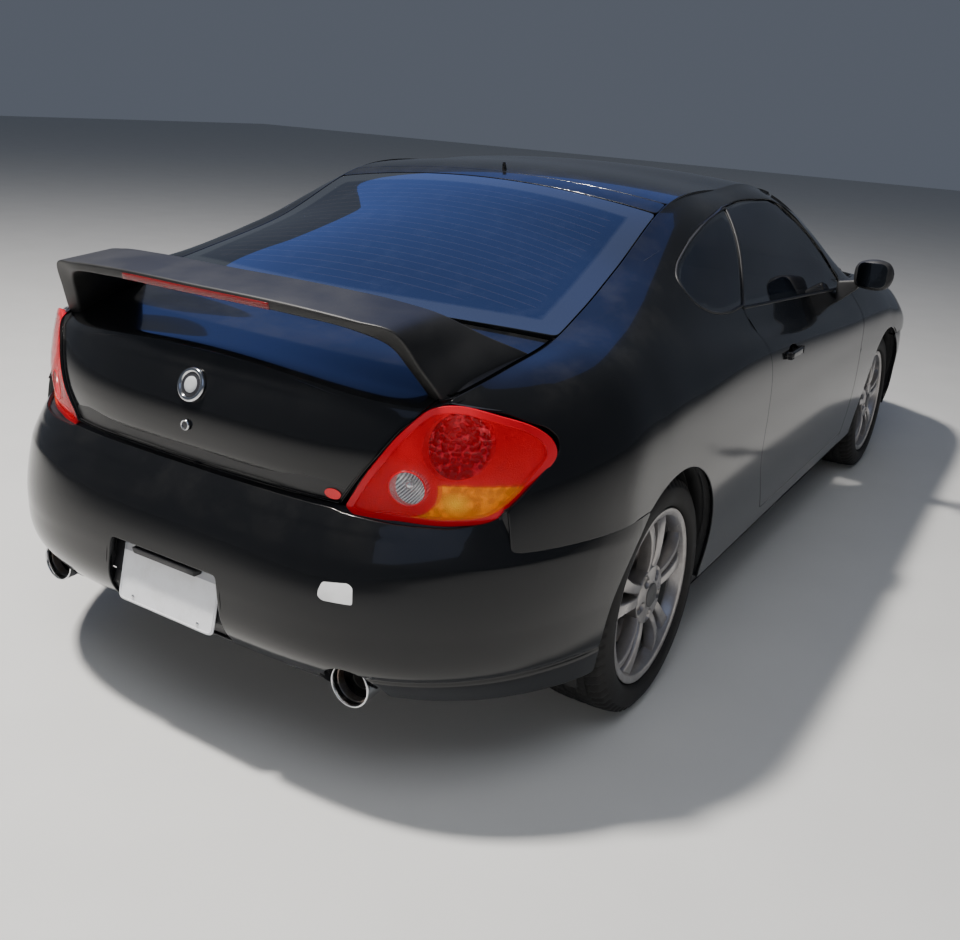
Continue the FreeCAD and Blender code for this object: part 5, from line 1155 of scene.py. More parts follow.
turn = np.linspace(0, 6.28, 80)
ring_loop = np.column_stack([552 + 0.906 * 38.5 * np.cos(turn), 735 + 38.5 * np.sin(turn)])
ring_path = tail_surface(*on_end(TAIL, closed_loop(ring_loop, step=3.0)).T)
both("reversing_ring", tube_round(ring_path, 1.8), LAMP_BORDER, "body", "lamp_red")
both("reversing_bulb", ball([-2024.0, 546, 738], 9.5), SILVER, "body", "lamp_clear")

# %% [markdown]
# The headlamps are a clear skin over a silver tray with two bowls, made the same way on the rounded nose.
# They face away in the photograph, so their inside is kept simple.

# %% Headlamps
head_yz = closed_loop(through(np.vstack([HEADLAMP_OUTLINE, HEADLAMP_OUTLINE[:1]])), step=5.0, rounds=3)


def head_floor(u, z):
    """The tray: the nose surface sunk by a few millimetres, with two round bowls in it."""
    points = nose_surface(u, z)
    sink = 12 + 30 * bowl(points, 560, 652, 1.0, 44) + 30 * bowl(points, 690, 672, 1.0, 48)
    return points - facing(nose_surface, np.column_stack([u, z]), 1) * sink[:, None]


lens_loop, tray_loop = on_end(NOSE, shrink(head_yz, 1.0)), on_end(NOSE, shrink(head_yz, 2.0))
skin = slab(nose_surface, lens_loop, 1, spacing=12.0, lift=0.6, radius=1.5, depth=3.0)
tray = slab(head_floor, tray_loop, 1, spacing=6.0, lift=0.0, radius=0.5, depth=4.0)
both("headlamp_lens", skin, CLEAR_LENS, "body", "lamp_clear")
both("headlamp_reflector", tray, SILVER, "body", "lamp_clear", "headlamps")
print("lamps done")

# %% [markdown]
# Wheels are turned about their own axle. The tyre is one closed grid, rows round the wheel and columns
# round its section; grooves are a value between 0 and 1 for every point that is taken off the radius.
# Spokes are swept loops, and the hub's face is a polar height field, so the five nut pockets are smooth
# dips and not cut holes.

# %% Tyres
def soft_step(value, edge, width):
    """0 below an edge and 1 above it, with a straight ramp between."""
    return np.clip((value - edge) / width + 0.5, 0, 1)


# Radius of the seat on which a tyre's bead sits, depth of the tread and number of blocks round it.
SEAT, TREAD, BLOCKS = 216.2, 6.5, 64


def tyre_section():
    """Closed section of a tyre, radius and distance from its middle plane, outer side positive."""
    outer = through([[SEAT, 81], [SEAT + 17, 84.5], [SEAT + 21, 98], [SEAT + 27, 104], [262, 107.3],
                     [284, 103.2], [300, 93.5]], 4.5)
    inner = through([[300, -93.5], [284, -103.2], [262, -107.3], [SEAT + 27, -104], [SEAT + 21, -99],
                     [SEAT + 17, -92.5], [SEAT, -89]], 6.0)
    across = np.concatenate([np.linspace(89, 62, 8), np.linspace(60.5, -60.5, 38), np.linspace(-62, -89, 8)])
    tread = np.column_stack([AXLE_Z - 6.5 * (np.abs(across) / 89) ** 4, across])
    bead = np.column_stack([np.full(5, SEAT), np.linspace(-60, 60, 5)])
    return np.vstack([outer, tread, inner, bead])


def tread_depth(angle, across, radius):
    """How far grooves cut in: four round the tyre, and slanted ones that open at each shoulder."""
    ring = np.zeros_like(across + angle)
    for place in (-50, -17, 17, 50):
        ring = np.maximum(ring, 1 - soft_step(np.abs(across - place), 4.6, 2.4))
    pitch = angle / (2 * np.pi) * BLOCKS
    slant = np.abs(across) * 0.012 + np.sign(across) * 0.25
    slot = soft_step(np.abs((pitch + slant) % 1.0 - 0.5), 0.35, 0.10)
    shoulder = soft_step(np.abs(across), 55, 6) * soft_step(radius, 293, 8)
    sipe = soft_step(np.abs((pitch - across * 0.02) % 1.0 - 0.5), 0.44, 0.05)
    sipe *= (1 - soft_step(np.abs(across), 50, 4)) * 0.5
    return np.maximum(ring * soft_step(radius, 300, 4), np.maximum(slot * shoulder, sipe))


section = tyre_section()
angles = np.linspace(0, 2 * np.pi, 384, endpoint=False)[:, None]
tyre_grid = revolve(section, len(angles))
depth = tread_depth(angles, section[None, :, 1], section[None, :, 0]) * TREAD
tyre_grid[..., 0] -= np.cos(angles) * depth
tyre_grid[..., 2] -= np.sin(angles) * depth
tyre = outward(tyre_grid.reshape(-1, 3), grid_faces(len(angles), len(section), True, True).tolist())


def rubber_finish():
    """Worn rubber: dark grey with a brown dust in patches, and a fine grained relief."""
    f = Finish("tyre_rubber", specular_ior_level=0.35)
    dust = f.spread(f.noise(9.0, 6.0, 0.65), 0.35, 0.75)
    f.set("Base Color", f.blend(dust, (0.008, 0.008, 0.008), (0.026, 0.024, 0.022)))
    f.set("Roughness", 0.62 + dust * 0.2)
    f.bump(f.noise(450.0, 4.0), 0.35, 0.0006)
    return f.material


CORNERS = [(end + "_" + side, axle) for end, axle in (("front", FRONT_AXLE), ("rear", REAR_AXLE))
           for side in ("left", "right")]


def at_corners(name, parts, material, slot, *nodes):
    """A wheel part made once for the left side and set at all four corners, mirrored on the right."""
    left = (parts[0] + [0, TRACK / 2, 0], parts[1])
    for corner, axle in CORNERS:
        points, faces = left if corner.endswith("left") else mirrored(left)
        placed = (points + [axle, 0, AXLE_Z], faces)
        own = [node + "_" + corner for node in nodes]
        new_piece(name + "_" + corner, placed, material, "wheel_" + corner, slot, *own)


RUBBER = rubber_finish()
at_corners("tyre_skin", tyre, RUBBER, "tyre_rubber", "tyre")

# %% [markdown]
# The rim is a turned lip and barrel, ten swept spokes in five pairs, and the hub. The spokes end inside
# the lip and the hub, so they meet without a gap. Cap, nuts and brake disc are turned sections too.

# %% Rims
def alloy_finish():
    """Silver paint with a machined sheen: fine scratches, and brake dust that darkens it in patches."""
    f = Finish("wheel_alloy", metallic=0.85, coat_weight=0.4, coat_roughness=0.12)
    dust = f.spread(f.noise(16.0, 5.0, 0.65), 0.35, 0.75)
    f.set("Base Color", f.blend(dust * 0.5, (0.40, 0.38, 0.37), (0.15, 0.135, 0.12)))
    f.set("Roughness", 0.24 + dust * 0.16 + f.noise(260.0, 2.0) * 0.08)
    f.bump(f.noise(700.0, 2.0), 0.06, 0.0004)
    return f.material


ALLOY = alloy_finish()
# Dark satin for the cap, and for the barrel as painted shade: the recess behind the spokes is darkened in
# colour.
DARK_CAP_AND_SHADE = satin_finish("dark_cap_and_shade", (0.05, 0.05, 0.05), 0.45, 400.0, 0.2)


def steel_finish():
    """Bare steel: grey that goes over to brown rust in patches, with a fine pitted relief."""
    f = Finish("bare_steel", metallic=0.9)
    rust = f.spread(f.noise(12.0, 6.0, 0.7), 0.4, 0.7)
    f.set("Base Color", f.blend(rust, (0.32, 0.31, 0.30), (0.16, 0.10, 0.07)))
    f.set("Roughness", 0.30 + f.noise(90.0, 4.0) * 0.25)
    f.bump(f.noise(350.0, 3.0), 0.2, 0.0005)
    return f.material


STEEL = steel_finish()


def turned(profile, rounding=None, count=144, **place):
    """A closed section turned into a closed skin, its corners rounded by a radius if one is given."""
    if rounding:
        flat = np.column_stack([profile, np.zeros(len(profile))])[None].astype(float)
        profile = rounded_loops(flat, rounding, 4)[0][:, :2]
    grid = revolve(profile, count, **place)
    return outward(grid.reshape(-1, 3), grid_faces(count, len(profile), True, True).tolist())


def join(*parts):
    """Several closed shells as one mesh, without stored normals."""
    shift, points, faces = 0, [], []
    for p, f in parts:
        points.append(p)
        faces += [[i + shift for i in face] for face in f]
        shift += len(p)
    return np.vstack(points), faces


# Radius of the rim where the bead of the tyre ends.
BEAD = 215.9
lip = turned([
    [BEAD - 17, 60], [BEAD - 9, 84], [BEAD - 4, 94], [BEAD + 6, 97], [BEAD + 14, 97], [BEAD + 16, 95],
    [BEAD + 14, 92], [BEAD + 2, 88], [BEAD - 1, 80], [BEAD - 7, 60]], 3.0)
barrel = turned([
    [BEAD, -89], [BEAD + 16, -95], [BEAD + 16, -99.5], [BEAD - 6, -99.5], [BEAD - 19, -65], [BEAD - 19, 42],
    [BEAD - 16, 62], [BEAD - 8, 62], [BEAD - 9, 51], [BEAD - 9, -65]], 3.0)
BLADE = np.array([
    [46, 15.5, 28, 86, 50], [72, 16.0, 28, 90, 52], [100, 18.0, 29, 95, 56], [134, 21.5, 31, 97, 60],
    [168, 27.0, 36, 96, 60], [192, 33.5, 44, 92, 56], [208, 39.0, 54, 86, 52]], float)


def blade(side, turn):
    """One of a pair of spokes: stations along the radius of offset, width, outer face and inner face."""
    radius = np.linspace(46, 208, 34)
    offset, width, top, low = smooth(BLADE[:, 0], BLADE[:, 1:], radius).T
    offset = offset * side
    first, second = top - 1 - 4.0 * (side > 0), top - 1 - 4.0 * (side < 0)
    corners = corner_rows(
        (offset - width * 0.40, first, radius), (offset + width * 0.40, second, radius),
        (offset + width * 0.50, low, radius), (offset - width * 0.50, low, radius))
    x, y, z = np.moveaxis(rounded_loops(corners, 5.0), 2, 0)
    c, s = math.cos(turn), math.sin(turn)
    return sweep(np.stack([c * x + s * z, y, c * z - s * x], axis=2))


blades = [blade(side, 2 * math.pi / 5 * i) for i in range(5) for side in (-1, 1)]
NUT_ANGLES = [2 * math.pi / 5 * (i + 0.5) + math.pi / 2 for i in range(5)]
NUT_CIRCLE, HUB = 57.15, 78


def hub_face():
    """The hub: a dome with five dips for the nuts, a shallow ring round the cap, and a skirt behind."""
    ring = np.concatenate([np.linspace(0.5, 74, 44), [76, 77.5, HUB, HUB, HUB]])
    drop = np.concatenate([np.zeros(44), [0.6, 1.8, 4, 20, 44]])
    columns = 160
    r, a = np.meshgrid(ring, np.linspace(0, 2 * np.pi, columns, endpoint=False), indexing="ij")
    height = 93 - 5.0 * (r / HUB) ** 2 - drop[:, None]
    for at in NUT_ANGLES:
        along = r * np.cos(a - at)
        off = np.abs(r * np.sin(a - at))
        reach = np.sqrt(np.maximum(np.abs(along - 59) - 6.5, 0) ** 2 + off ** 2)
        height = height - 26 * (1 - soft_step(reach, 11.5, 3.0)) * (along > 0) * (r < 76)
    height = height - 3.0 * (1 - soft_step(np.abs(r - 33.5), 1.6, 1.6))
    points = np.stack([r * np.cos(a), height, r * np.sin(a)], 2).reshape(-1, 3)
    faces = grid_faces(len(ring), columns, closed_columns=True).tolist()
    front, last = len(points), (len(ring) - 1) * columns
    points = np.vstack([points, [[0, 93, 0], [0, 49, 0]]])
    faces += [[front, i, (i + 1) % columns][::-1] for i in range(columns)]
    faces += [[front + 1, last + i, last + (i + 1) % columns] for i in range(columns)]
    return outward(points, faces)


nuts = [turned([[10.5, 66], [10.5, 80], [7.5, 84], [0.6, 85], [0, 66]], count=6,
               centre=(NUT_CIRCLE * math.cos(at), 0, NUT_CIRCLE * math.sin(at))) for at in NUT_ANGLES]
cap = turned([[0.5, 88], [31.5, 88], [31.5, 94.5], [24, 97], [0.5, 97.5]], 1.5, 72)
disc = turned([
    [24, 30], [72, 30], [72, 24], [140, 24], [140, 17], [88, 17], [88, 9], [140, 9], [140, 2], [70, 2],
    [66, 26], [24, 26]], 1.2, 72, centre=(0, 14.8, 0))
at_corners("rim_skin", join(lip, *blades, hub_face()), ALLOY, "wheel_alloy", "rim")
# The barrel is dark as painted shade in the recess behind the spokes.
at_corners("rim_barrel", barrel, DARK_CAP_AND_SHADE, "wheel_alloy")
at_corners("rim_cap", cap, DARK_CAP_AND_SHADE, "wheel_alloy")
at_corners("wheel_nuts", join(*nuts), STEEL, "steel")
at_corners("brake_disc", disc, STEEL, "steel")
print("wheels", len(tyre[0]), len(blades))

# %% [markdown]
# Small parts sit on the same surfaces: flared exhaust tips that are turned about a line along the car, and
# the plate, which is a leaning sheet with a raised edge and two bolts.

# %% Exhaust tips and plate
ALONG_X = {"axis": (1, 0, 0), "side": (0, 1, 0), "up": (0, 0, 1)}
TIP_AT = (0, 478, 290)
tip = turned([[44, -1960], [46, -2010], [50, -2104], [51, -2112], [47, -2113], [45, -2106], [41.8, -2070],
              [41.5, -1962]], 2.0, 96, centre=TIP_AT, **ALONG_X)
baffle = [[0.5, -2040], [41.4, -2040], [41.4, -2036], [0.5, -2036]]
baffle = turned(baffle, 0.5, 48, centre=TIP_AT, **ALONG_X)
inner_tube = [[26, -2085], [28, -2085], [28, -2040], [26, -2040]]
inner_tube = turned(inner_tube, 0.5, 48, centre=(8, 488, 296), **ALONG_X)


def chrome_finish():
    """Bright plating with a little haze in patches."""
    f = Finish("chrome", metallic=1.0)
    f.set("Base Color", f.blend(f.noise(40.0), (0.55, 0.56, 0.57), (0.70, 0.70, 0.71)))
    f.set("Roughness", 0.10 + f.spread(f.noise(120.0, 4.0), 0.4, 0.8, 0.0, 0.18))
    f.bump(f.noise(300.0), 0.04, 0.0003)
    return f.material


CHROME = chrome_finish()
SOOT = satin_finish("soot", (0.012, 0.011, 0.010), 0.8, 200.0, 0.4)
both("exhaust_tip", tip, CHROME, "body", "steel")
both("exhaust_baffle", join(baffle, inner_tube), SOOT, "body", "steel")


def plate_finish():
    """Painted plate: white with a grey band along its top, and road dust in patches."""
    f = Finish("plate_white", coat_weight=0.3, coat_roughness=0.1)
    band = f.spread(f.z, 0.4405, 0.4415)
    dust = f.spread(f.noise(24.0, 5.0, 0.7), 0.45, 0.8)
    white = f.blend(band, (0.72, 0.73, 0.76), (0.30, 0.31, 0.34))
    f.set("Base Color", f.blend(dust * 0.35, white, (0.45, 0.43, 0.40)))
    f.set("Roughness", 0.30 + dust * 0.25)
    f.bump(f.noise(160.0, 3.0), 0.06, 0.0004)
    return f.material


# Slope of the plate, whose upper edge lies further forward than its lower one, and its middle height.
PLATE_SLOPE, PLATE_Z = math.tan(math.radians(10.2)), 400


def plate_surface(y, z):
    """The leaning plane of the plate, through a point at its middle height."""
    return np.column_stack([-2174.6 + (z - PLATE_Z) * PLATE_SLOPE, y, z])


def round_box(half_y, half_z, radius, y=0.0, z=0.0):
    """Outline of a rectangle with quarter-circle corners."""
    angle = np.radians(np.linspace(0, 90, 9))
    runs = []
    for i, (sy, sz) in enumerate(((1, 1), (-1, 1), (-1, -1), (1, -1))):
        turn = angle + math.pi / 2 * i
        middle = [y + sy * (half_y - radius), z + sz * (half_z - radius)]
        runs.append(middle + radius * np.column_stack([np.cos(turn), np.sin(turn)]))
    return closed_loop(np.vstack(runs), step=4.0, rounds=1)


WHITE_PLATE = plate_finish()
outline = round_box(152.4, 75.0, 14.0, 0, PLATE_Z)
plate = slab(plate_surface, outline, -1, spacing=12.0, lift=1.6, radius=0.8, depth=3.4)
new_piece("plate_skin", plate, WHITE_PLATE, "body", "plate_white", "number_plate")
rim_path = plate_surface(*round_box(148.5, 71.2, 12.0, 0, PLATE_Z).T) + [-2.0, 0, 0]
new_piece("plate_edge", tube_round(rim_path, 1.3), WHITE_PLATE, "body", "plate_white")
bolts = [ball(place - [2.4, 0, 0], 5.0, (0.5, 1, 1), 8, 16)
         for place in plate_surface(np.array([-105.0, 105.0]), np.array([340.0, 340.0]))]
new_piece("plate_bolts", join(*bolts), CHROME, "body", "steel")
y = np.linspace(-96, 96, 9)
lamp_bar = bar(5.0, (-2196, y, 470), (-2160, y, 470), (-2160, y, 452), (-2190, y, 452))
new_piece("plate_lamp_bar", lamp_bar, TRIM, "body", "black_trim")

# %% [markdown]
# The badge and the lock are turned sections set square to the tail. The badge is a plain dome inside a
# ring, and both stickers are blank, so nothing here can be read.

# %% Badge, lock and stickers
def on_tail(place, facing_to, profile, rounding, count=72):
    """A closed section of radius and height turned about the direction that it faces."""
    axis = unit(np.array(facing_to, float))
    side = unit(np.cross(axis, [0, 0, 1.0]))
    return turned(profile, rounding, count, centre=place, axis=axis, side=side, up=np.cross(side, axis))


BADGE, LOCK = ((-2105.0, 0, 858), (-1, 0, 0.35)), ((-2123.0, 0, 768), (-1, 0, 0.06))
badge_ring = on_tail(*BADGE, [[27.5, -3], [39.5, -3], [40, 2], [37, 6.0], [31, 6.5], [27.5, 3]], 2.0)
badge_dome = on_tail(*BADGE, [[0.4, 0], [19, 0], [18.5, 4.0], [12, 6.0], [0.4, 7.0]], 0.6)
badge_dish = on_tail(*BADGE, [[0.4, -3], [30, -3], [30, 1.5], [15, 3.5], [0.4, 4.2]], 0.4)
lock_ring = on_tail(*LOCK, [[8.5, -2], [13, -2], [13, 2.5], [11, 4.5], [8.5, 3.5]], 1.0, 48)
lock_dish = on_tail(*LOCK, [[0.4, -2], [9, -2], [9, 1.5], [0.4, 2]], 0.3, 48)
BADGE_SILVER = satin_finish("badge_silver", (0.34, 0.35, 0.37), 0.28, 200.0, 0.08)
ENAMEL = satin_finish("dark_enamel", (0.02, 0.02, 0.024), 0.25, 90.0, 0.05)
new_piece("badge_rings", join(badge_ring, lock_ring), CHROME, "hatch", "badge_chrome", "hatch_badge")
new_piece("badge_dome", badge_dome, BADGE_SILVER, "hatch", "badge_chrome")
new_piece("badge_dishes", join(badge_dish, lock_dish), ENAMEL, "hatch", "badge_chrome")

WHITE_STICKER = satin_finish("white_sticker", (0.55, 0.55, 0.55), 0.5, 300.0, 0.05)
RED_STICKER = satin_finish("red_sticker", (0.62, 0.010, 0.016), 0.35, 300.0, 0.05)
sticker = closed_loop(straight([
    [-428, 520], [-433, 536], [-486, 542], [-497, 535], [-503, 500], [-440, 499], [-428, 506], [-428, 520]]),
    step=3.0, rounds=2)
sticker = on_end(REAR_BUMPER, sticker)
sticker = slab(bumper_surface, sticker, -1, spacing=8.0, lift=LIFT + 0.5, radius=0.2, depth=0.9)
new_piece("white_sticker", sticker, WHITE_STICKER, "body", "plate_white")
turn = np.linspace(0, 2 * np.pi, 40)
oval = closed_loop(np.column_stack([-396 + 19 * np.cos(turn), 697 + 12 * np.sin(turn)]), step=2.5, rounds=1)
oval = slab(tail_surface, on_end(TAIL, oval), -1, spacing=6.0, lift=0.2, radius=0.2, depth=0.9)
new_piece("red_sticker", oval, RED_STICKER, "hatch", "lamp_red")

# %% [markdown]
# The housing of a wheel arch ends behind the side panel. A thin band closes that gap, so no light is seen
# through it when the hatch is open.

# %% Arch liners
def arch_liner(axle):
    """A thin band round the wheel arch, from the edge of the housing out to just behind the side panel."""
    angle = np.radians(np.linspace(-8, 188, 99))
    radius, inner_y = ARCH + 3, 797.0
    x, z = axle + radius * np.cos(angle), AXLE_Z + radius * np.sin(angle)
    panel = side_surface(x, side_height(x, np.maximum(z, 330.0)))[:, 1] - 12.0
    far_x, far_z = axle + (radius + 4) * np.cos(angle), AXLE_Z + (radius + 4) * np.sin(angle)
    return sweep(corner_rows((x, inner_y, z), (x, panel, z), (far_x, panel, far_z), (far_x, inner_y, far_z)))


both("arch_liner", join(arch_liner(REAR_AXLE), arch_liner(FRONT_AXLE)), UNDERSEAL, "body", "black_trim")

# %% [markdown]
# The mirrors and the door handles are rounded four-sided bars. A table gives the mirror's section for each
# distance from the middle of the car, and a factor that falls at both ends closes it softly.

# %% Mirrors and handles
MIRROR_ROWS = np.array([
    [858, 352, 470, 940, 1030], [905, 340, 462, 930, 1052], [960, 346, 452, 930, 1056],
    [998, 366, 440, 946, 1040]], float)


def mirror_housing():
    """Rounded sections along y through a short table, with smaller ones at both ends that close it softly."""
    y = np.linspace(858, 998, 29)
    low_x, high_x, low_z, high_z = smooth(MIRROR_ROWS[:, 0], MIRROR_ROWS[:, 1:], y).T
    ends = np.sqrt(np.clip(1 - np.maximum(np.abs(y - 928) - 48, 0) ** 2 / 23.0 ** 2, 0.10, 1))
    x, z = (low_x + high_x) / 2, (low_z + high_z) / 2
    half_x, half_z = (high_x - low_x) / 2 * ends, (high_z - low_z) / 2 * ends
    return bar(42.0, (x - half_x, y, z - half_z * 0.9), (x + half_x * 0.85, y, z - half_z),
               (x + half_x, y, z + half_z * 0.55), (x - half_x * 0.88, y, z + half_z), samples=9)


def mirror_arm():
    """The foot of the mirror: a bar whose section grows smaller and rises from the door to the housing."""
    y = np.linspace(800, 874, 9)
    s = (y - 800) / 74
    return bar(14.0, (395 + 6 * s, y, 856 + 66 * s), (484 - 40 * s, y, 856 + 70 * s),
               (478 - 30 * s, y, 930 + 30 * s), (402 + 2 * s, y, 950 + 14 * s))


def mirror_face(y, z):
    """The glass of the mirror: just inside the rear of the housing and leaning with its height."""
    low_x = smooth(MIRROR_ROWS[:, 0], MIRROR_ROWS[:, 1], y)
    return np.column_stack([low_x + 3.5 + 0.05 * (z - 990), y, z])


def mirror_finish():
    """Mirror glass with its silver darkened to about a tenth, a painted dark reflection, a little dusty in
    patches.
    """
    f = Finish("mirror_silver", metallic=1.0)
    # The base colour is near black: a painted dark reflection, far below the brightness of real silvering.
    f.set("Base Color", f.blend(f.noise(20.0), (0.10, 0.105, 0.115), (0.13, 0.135, 0.14)))
    f.set("Roughness", 0.03 + f.spread(f.noise(60.0, 4.0), 0.5, 0.8, 0.0, 0.12))
    return f.material


both("mirror_skin", join(mirror_housing(), mirror_arm()), TRIM, "door", "black_trim", "mirror_")
outline = round_box(50, 44, 22, 930, 992)
face = slab(mirror_face, outline, -1, spacing=14.0, lift=3.0, radius=1.0, depth=4.0)
both("mirror_glass", face, mirror_finish(), "door", "side_glass")


def handle():
    """A bar that stands off the door and curves back into it at both ends."""
    x, z = np.linspace(HANDLE_X - 74, HANDLE_X + 74, 41), HANDLE_Z
    reach = 1 - np.clip((np.abs(x - HANDLE_X) - 48) / 26, 0, 1) ** 2
    y = side_surface(x, side_height(x, np.full_like(x, z)))[:, 1] + LIFT - 8 + 18 * reach
    half = 10.5 + 1.5 * reach
    out = y + 8
    return bar(5.0, (x, y, z - half), (x, out, z - half * 0.7), (x, out, z + half * 0.7), (x, y, z + half))


both("handle_skin", handle(), PAINT, "door", "body_paint")
belt_path = side_surface(*on_side(straight([[560, 897], [445, 906], [-690, 977]], 12.0)).T) + [0, 2.0, 0]
both("belt_trim", tube_round(belt_path, 4.5, closed=False), TRIM, "door", "black_trim")
print("details done")

# %% [markdown]
# Seats are the one soft thing in the car. Each pad starts as a swept form a little too small, is remeshed
# evenly, and is blown up by a short cloth simulation whose movement is capped. Seams are pressed in
# afterwards, because the remesh would close them.

# %% Seats
def cloth_finish():
    """Dark woven cloth: a fine crossed weave, with fibres that catch light at the edges."""
    f = Finish("seat_cloth", sheen_weight=0.3, specular_ior_level=0.2)
    weave, cross = f.wave(160.0), f.wave(160.0, "Y")
    lit = weave * cross + f.noise(6.0) * 0.3
    f.set("Base Color", f.blend(lit, (0.010, 0.010, 0.011), (0.040, 0.040, 0.042)))
    f.set("Roughness", 0.80 + f.noise(40.0) * 0.15)
    f.bump(weave * 0.5 + cross * 0.5, 0.4, 0.0006)
    return f.material


CLOTH = cloth_finish()
# Distance from the middle of the car to the middle of a front seat and of a rear seat.
FRONT_SEAT, REAR_SEAT = 370, 262


def pad_loops(rows, y, upright):
    """Rounded sections of a pad through a table of x, z, half width and half thickness."""
    rows = np.array(rows, float)
    along = rows[:, 1] if upright else rows[:, 0]
    x, z, half, thick = smooth(along, rows, np.linspace(along[0], along[-1], 24)).T
    dx, dz = (thick, 0) if upright else (0, thick)
    return bar(46.0, (x - dx, y - half, z - dz), (x - dx, y + half, z - dz), (x + dx, y + half, z + dz),
               (x + dx, y - half, z + dz), samples=7)


def inflate(piece, voxel=0.012, cap=0.014):
    """Voxel remesh, twenty frames of cloth under pressure, and each point's path cut to the cap."""
    scene = bpy.context.scene
    bpy.context.view_layer.objects.active = piece
    remesh = piece.modifiers.new("remesh", "REMESH")
    remesh.mode, remesh.voxel_size = "VOXEL", voxel
    bpy.ops.object.modifier_apply(modifier="remesh")
    start = points_of(piece.data)
    cloth = piece.modifiers.new("cloth", "CLOTH")
    cloth.settings.use_pressure = True
    cloth.settings.uniform_pressure_force = 4.0
    cloth.settings.effector_weights.gravity = 0.0
    for frame_number in range(1, 21):
        scene.frame_set(frame_number)
    end = points_of(piece.evaluated_get(bpy.context.evaluated_depsgraph_get()).data)
    piece.modifiers.remove(cloth)
    scene.frame_set(1)
    size = np.maximum(np.linalg.norm(end - start, axis=1, keepdims=True), 1e-9)
    moved = start + (end - start) * np.minimum(1, cap / size)
    piece.data.vertices.foreach_set("co", moved.ravel())
    piece.data.update()


def press_seams(piece, y, lines, cross, upright, width=0.007, depth=0.006):
    """Grooves along the pad at given distances from its middle, and across it at given places."""
    mesh = piece.data
    points, normals = points_of(mesh), points_of(mesh, "normal")
    off = np.abs(points[:, 1] - y * MM)
    along = points[:, 2] if upright else points[:, 0]
    share = np.zeros(len(points))
    for line in lines:
        share = np.maximum(share, np.exp(-((off - line * MM) / width) ** 2))
    for line in cross:
        share = np.maximum(share, np.exp(-((along - line * MM) / width) ** 2) * (off < lines[0] * MM))
    shown = normals[:, 0] > 0.3 if upright else normals[:, 2] > 0.3
    points = points - normals * (share * shown)[:, None] * depth
    mesh.vertices.foreach_set("co", points.ravel())
    mesh.update()


def pad(name, rows, y, upright, lines, cross, *nodes):
    """The left pad is simulated; the right one is its mirror image."""
    piece = new_piece(name + "_left", pad_loops(rows, y, upright), CLOTH, "body", "seat_cloth", *nodes)
    inflate(piece)
    press_seams(piece, y, lines, cross, upright)
    shape = (points_of(piece.data) / MM, [list(face.vertices) for face in piece.data.polygons])
    twin = new_piece(name + "_right", mirrored(shape), CLOTH, "body", "seat_cloth")
    for item in (piece, twin):
        item.data.materials.clear()
        item.data.materials.append(CLOTH)
        item.data.shade_smooth()
        fine = item.modifiers.new("fine", "SUBSURF")
        fine.levels = fine.render_levels = 1


pad("front_cushion", [
    [-328, 385, 190, 42], [-290, 380, 210, 52], [-40, 372, 222, 56], [120, 390, 222, 58],
    [186, 400, 208, 42]],
    FRONT_SEAT, False, [138], [-160, 20], "front_seats")
pad("front_back", [
    [-352, 342, 178, 48], [-376, 450, 200, 66], [-420, 660, 222, 64], [-474, 880, 192, 46],
    [-490, 942, 140, 32]],
    FRONT_SEAT, True, [132], [560, 740])
pad("headrest", [[-496, 1000, 98, 20], [-500, 1022, 116, 30], [-508, 1088, 110, 30], [-512, 1114, 86, 18]],
    FRONT_SEAT, True, [], [])
pad("rear_cushion", [
    [-950, 408, 205, 34], [-900, 410, 215, 44], [-760, 420, 218, 46], [-660, 424, 212, 42],
    [-632, 424, 200, 34]],
    REAR_SEAT, False, [130], [-800], "rear_seat")
pad("rear_back", [
    [-975, 470, 205, 36], [-1015, 550, 216, 42], [-1095, 720, 214, 42], [-1160, 850, 200, 34],
    [-1170, 872, 190, 26]],
    REAR_SEAT, True, [130], [650])

x = np.linspace(-290, 150, 12)
plinth = bar(16.0, (x, 195, 203), (x, 545, 203), (x, 530, 330), (x, 210, 330))
posts = [tube_round(np.array([[-494.0, y, 925], [-496, y, 965], [-498, y, 1005]]), 6.0, closed=False)
         for y in (FRONT_SEAT - 60, FRONT_SEAT + 60)]
both("seat_plinth", join(plinth, *posts), DASH, "body", "dash_plastic")
y = np.linspace(118, 498, 16)
base = bar(12.0, (-985, y, 203), (-650, y, 203), (-640, y, 380), (-935, y, 372))
y = np.linspace(4, 498, 16)
board = bar(8.0, (-1015, y, 440), (-985, y, 452), (-1180, y, 868), (-1212, y, 866))
both("rear_seat_base", join(base, board), CLOTH, "body", "seat_cloth")
print("seats done")

# %% [markdown]
# Solids that stay visible get their own finish, one for each slot. Those just under a painted skin are
# pushed in by a few millimetres, so a flat facet never shows through the curved skin above it.

# %% Finishes of the solids
PLAIN_CLOTH = satin_finish("seat_cloth", (0.020, 0.020, 0.022), 0.85, 1100.0, 0.6)
PLATE = satin_finish("plate_white", (0.62, 0.63, 0.64), 0.38, 60.0, 0.04)
BY_SLOT = {
    "body_paint": JAMB, "black_trim": TRIM, "side_glass": SIDE_GLASS, "lamp_red": RED_LENS,
    "lamp_clear": CLEAR_LENS, "tyre_rubber": RUBBER, "wheel_alloy": ALLOY, "cast_metal": CAST,
    "floor_paint": UNDERSEAL, "steel": STEEL, "badge_chrome": CHROME, "plate_white": PLATE,
    "seat_cloth": PLAIN_CLOTH, "dash_plastic": DASH}
for entry in frame["record"]["subparts"]:
    solid = frame["nodes"][entry["node"]]
    solid.data.materials.clear()
    solid.data.materials.append(BY_SLOT[entry["material_slot"]])
INWARD = {"rear_bumper": 6, "front_bumper": 6, "body_side_left": 4, "body_side_right": 4, "door_left": 4,
          "door_right": 4, "fenders": 4, "hatch": 6, "hood": 4, "roof": 3}
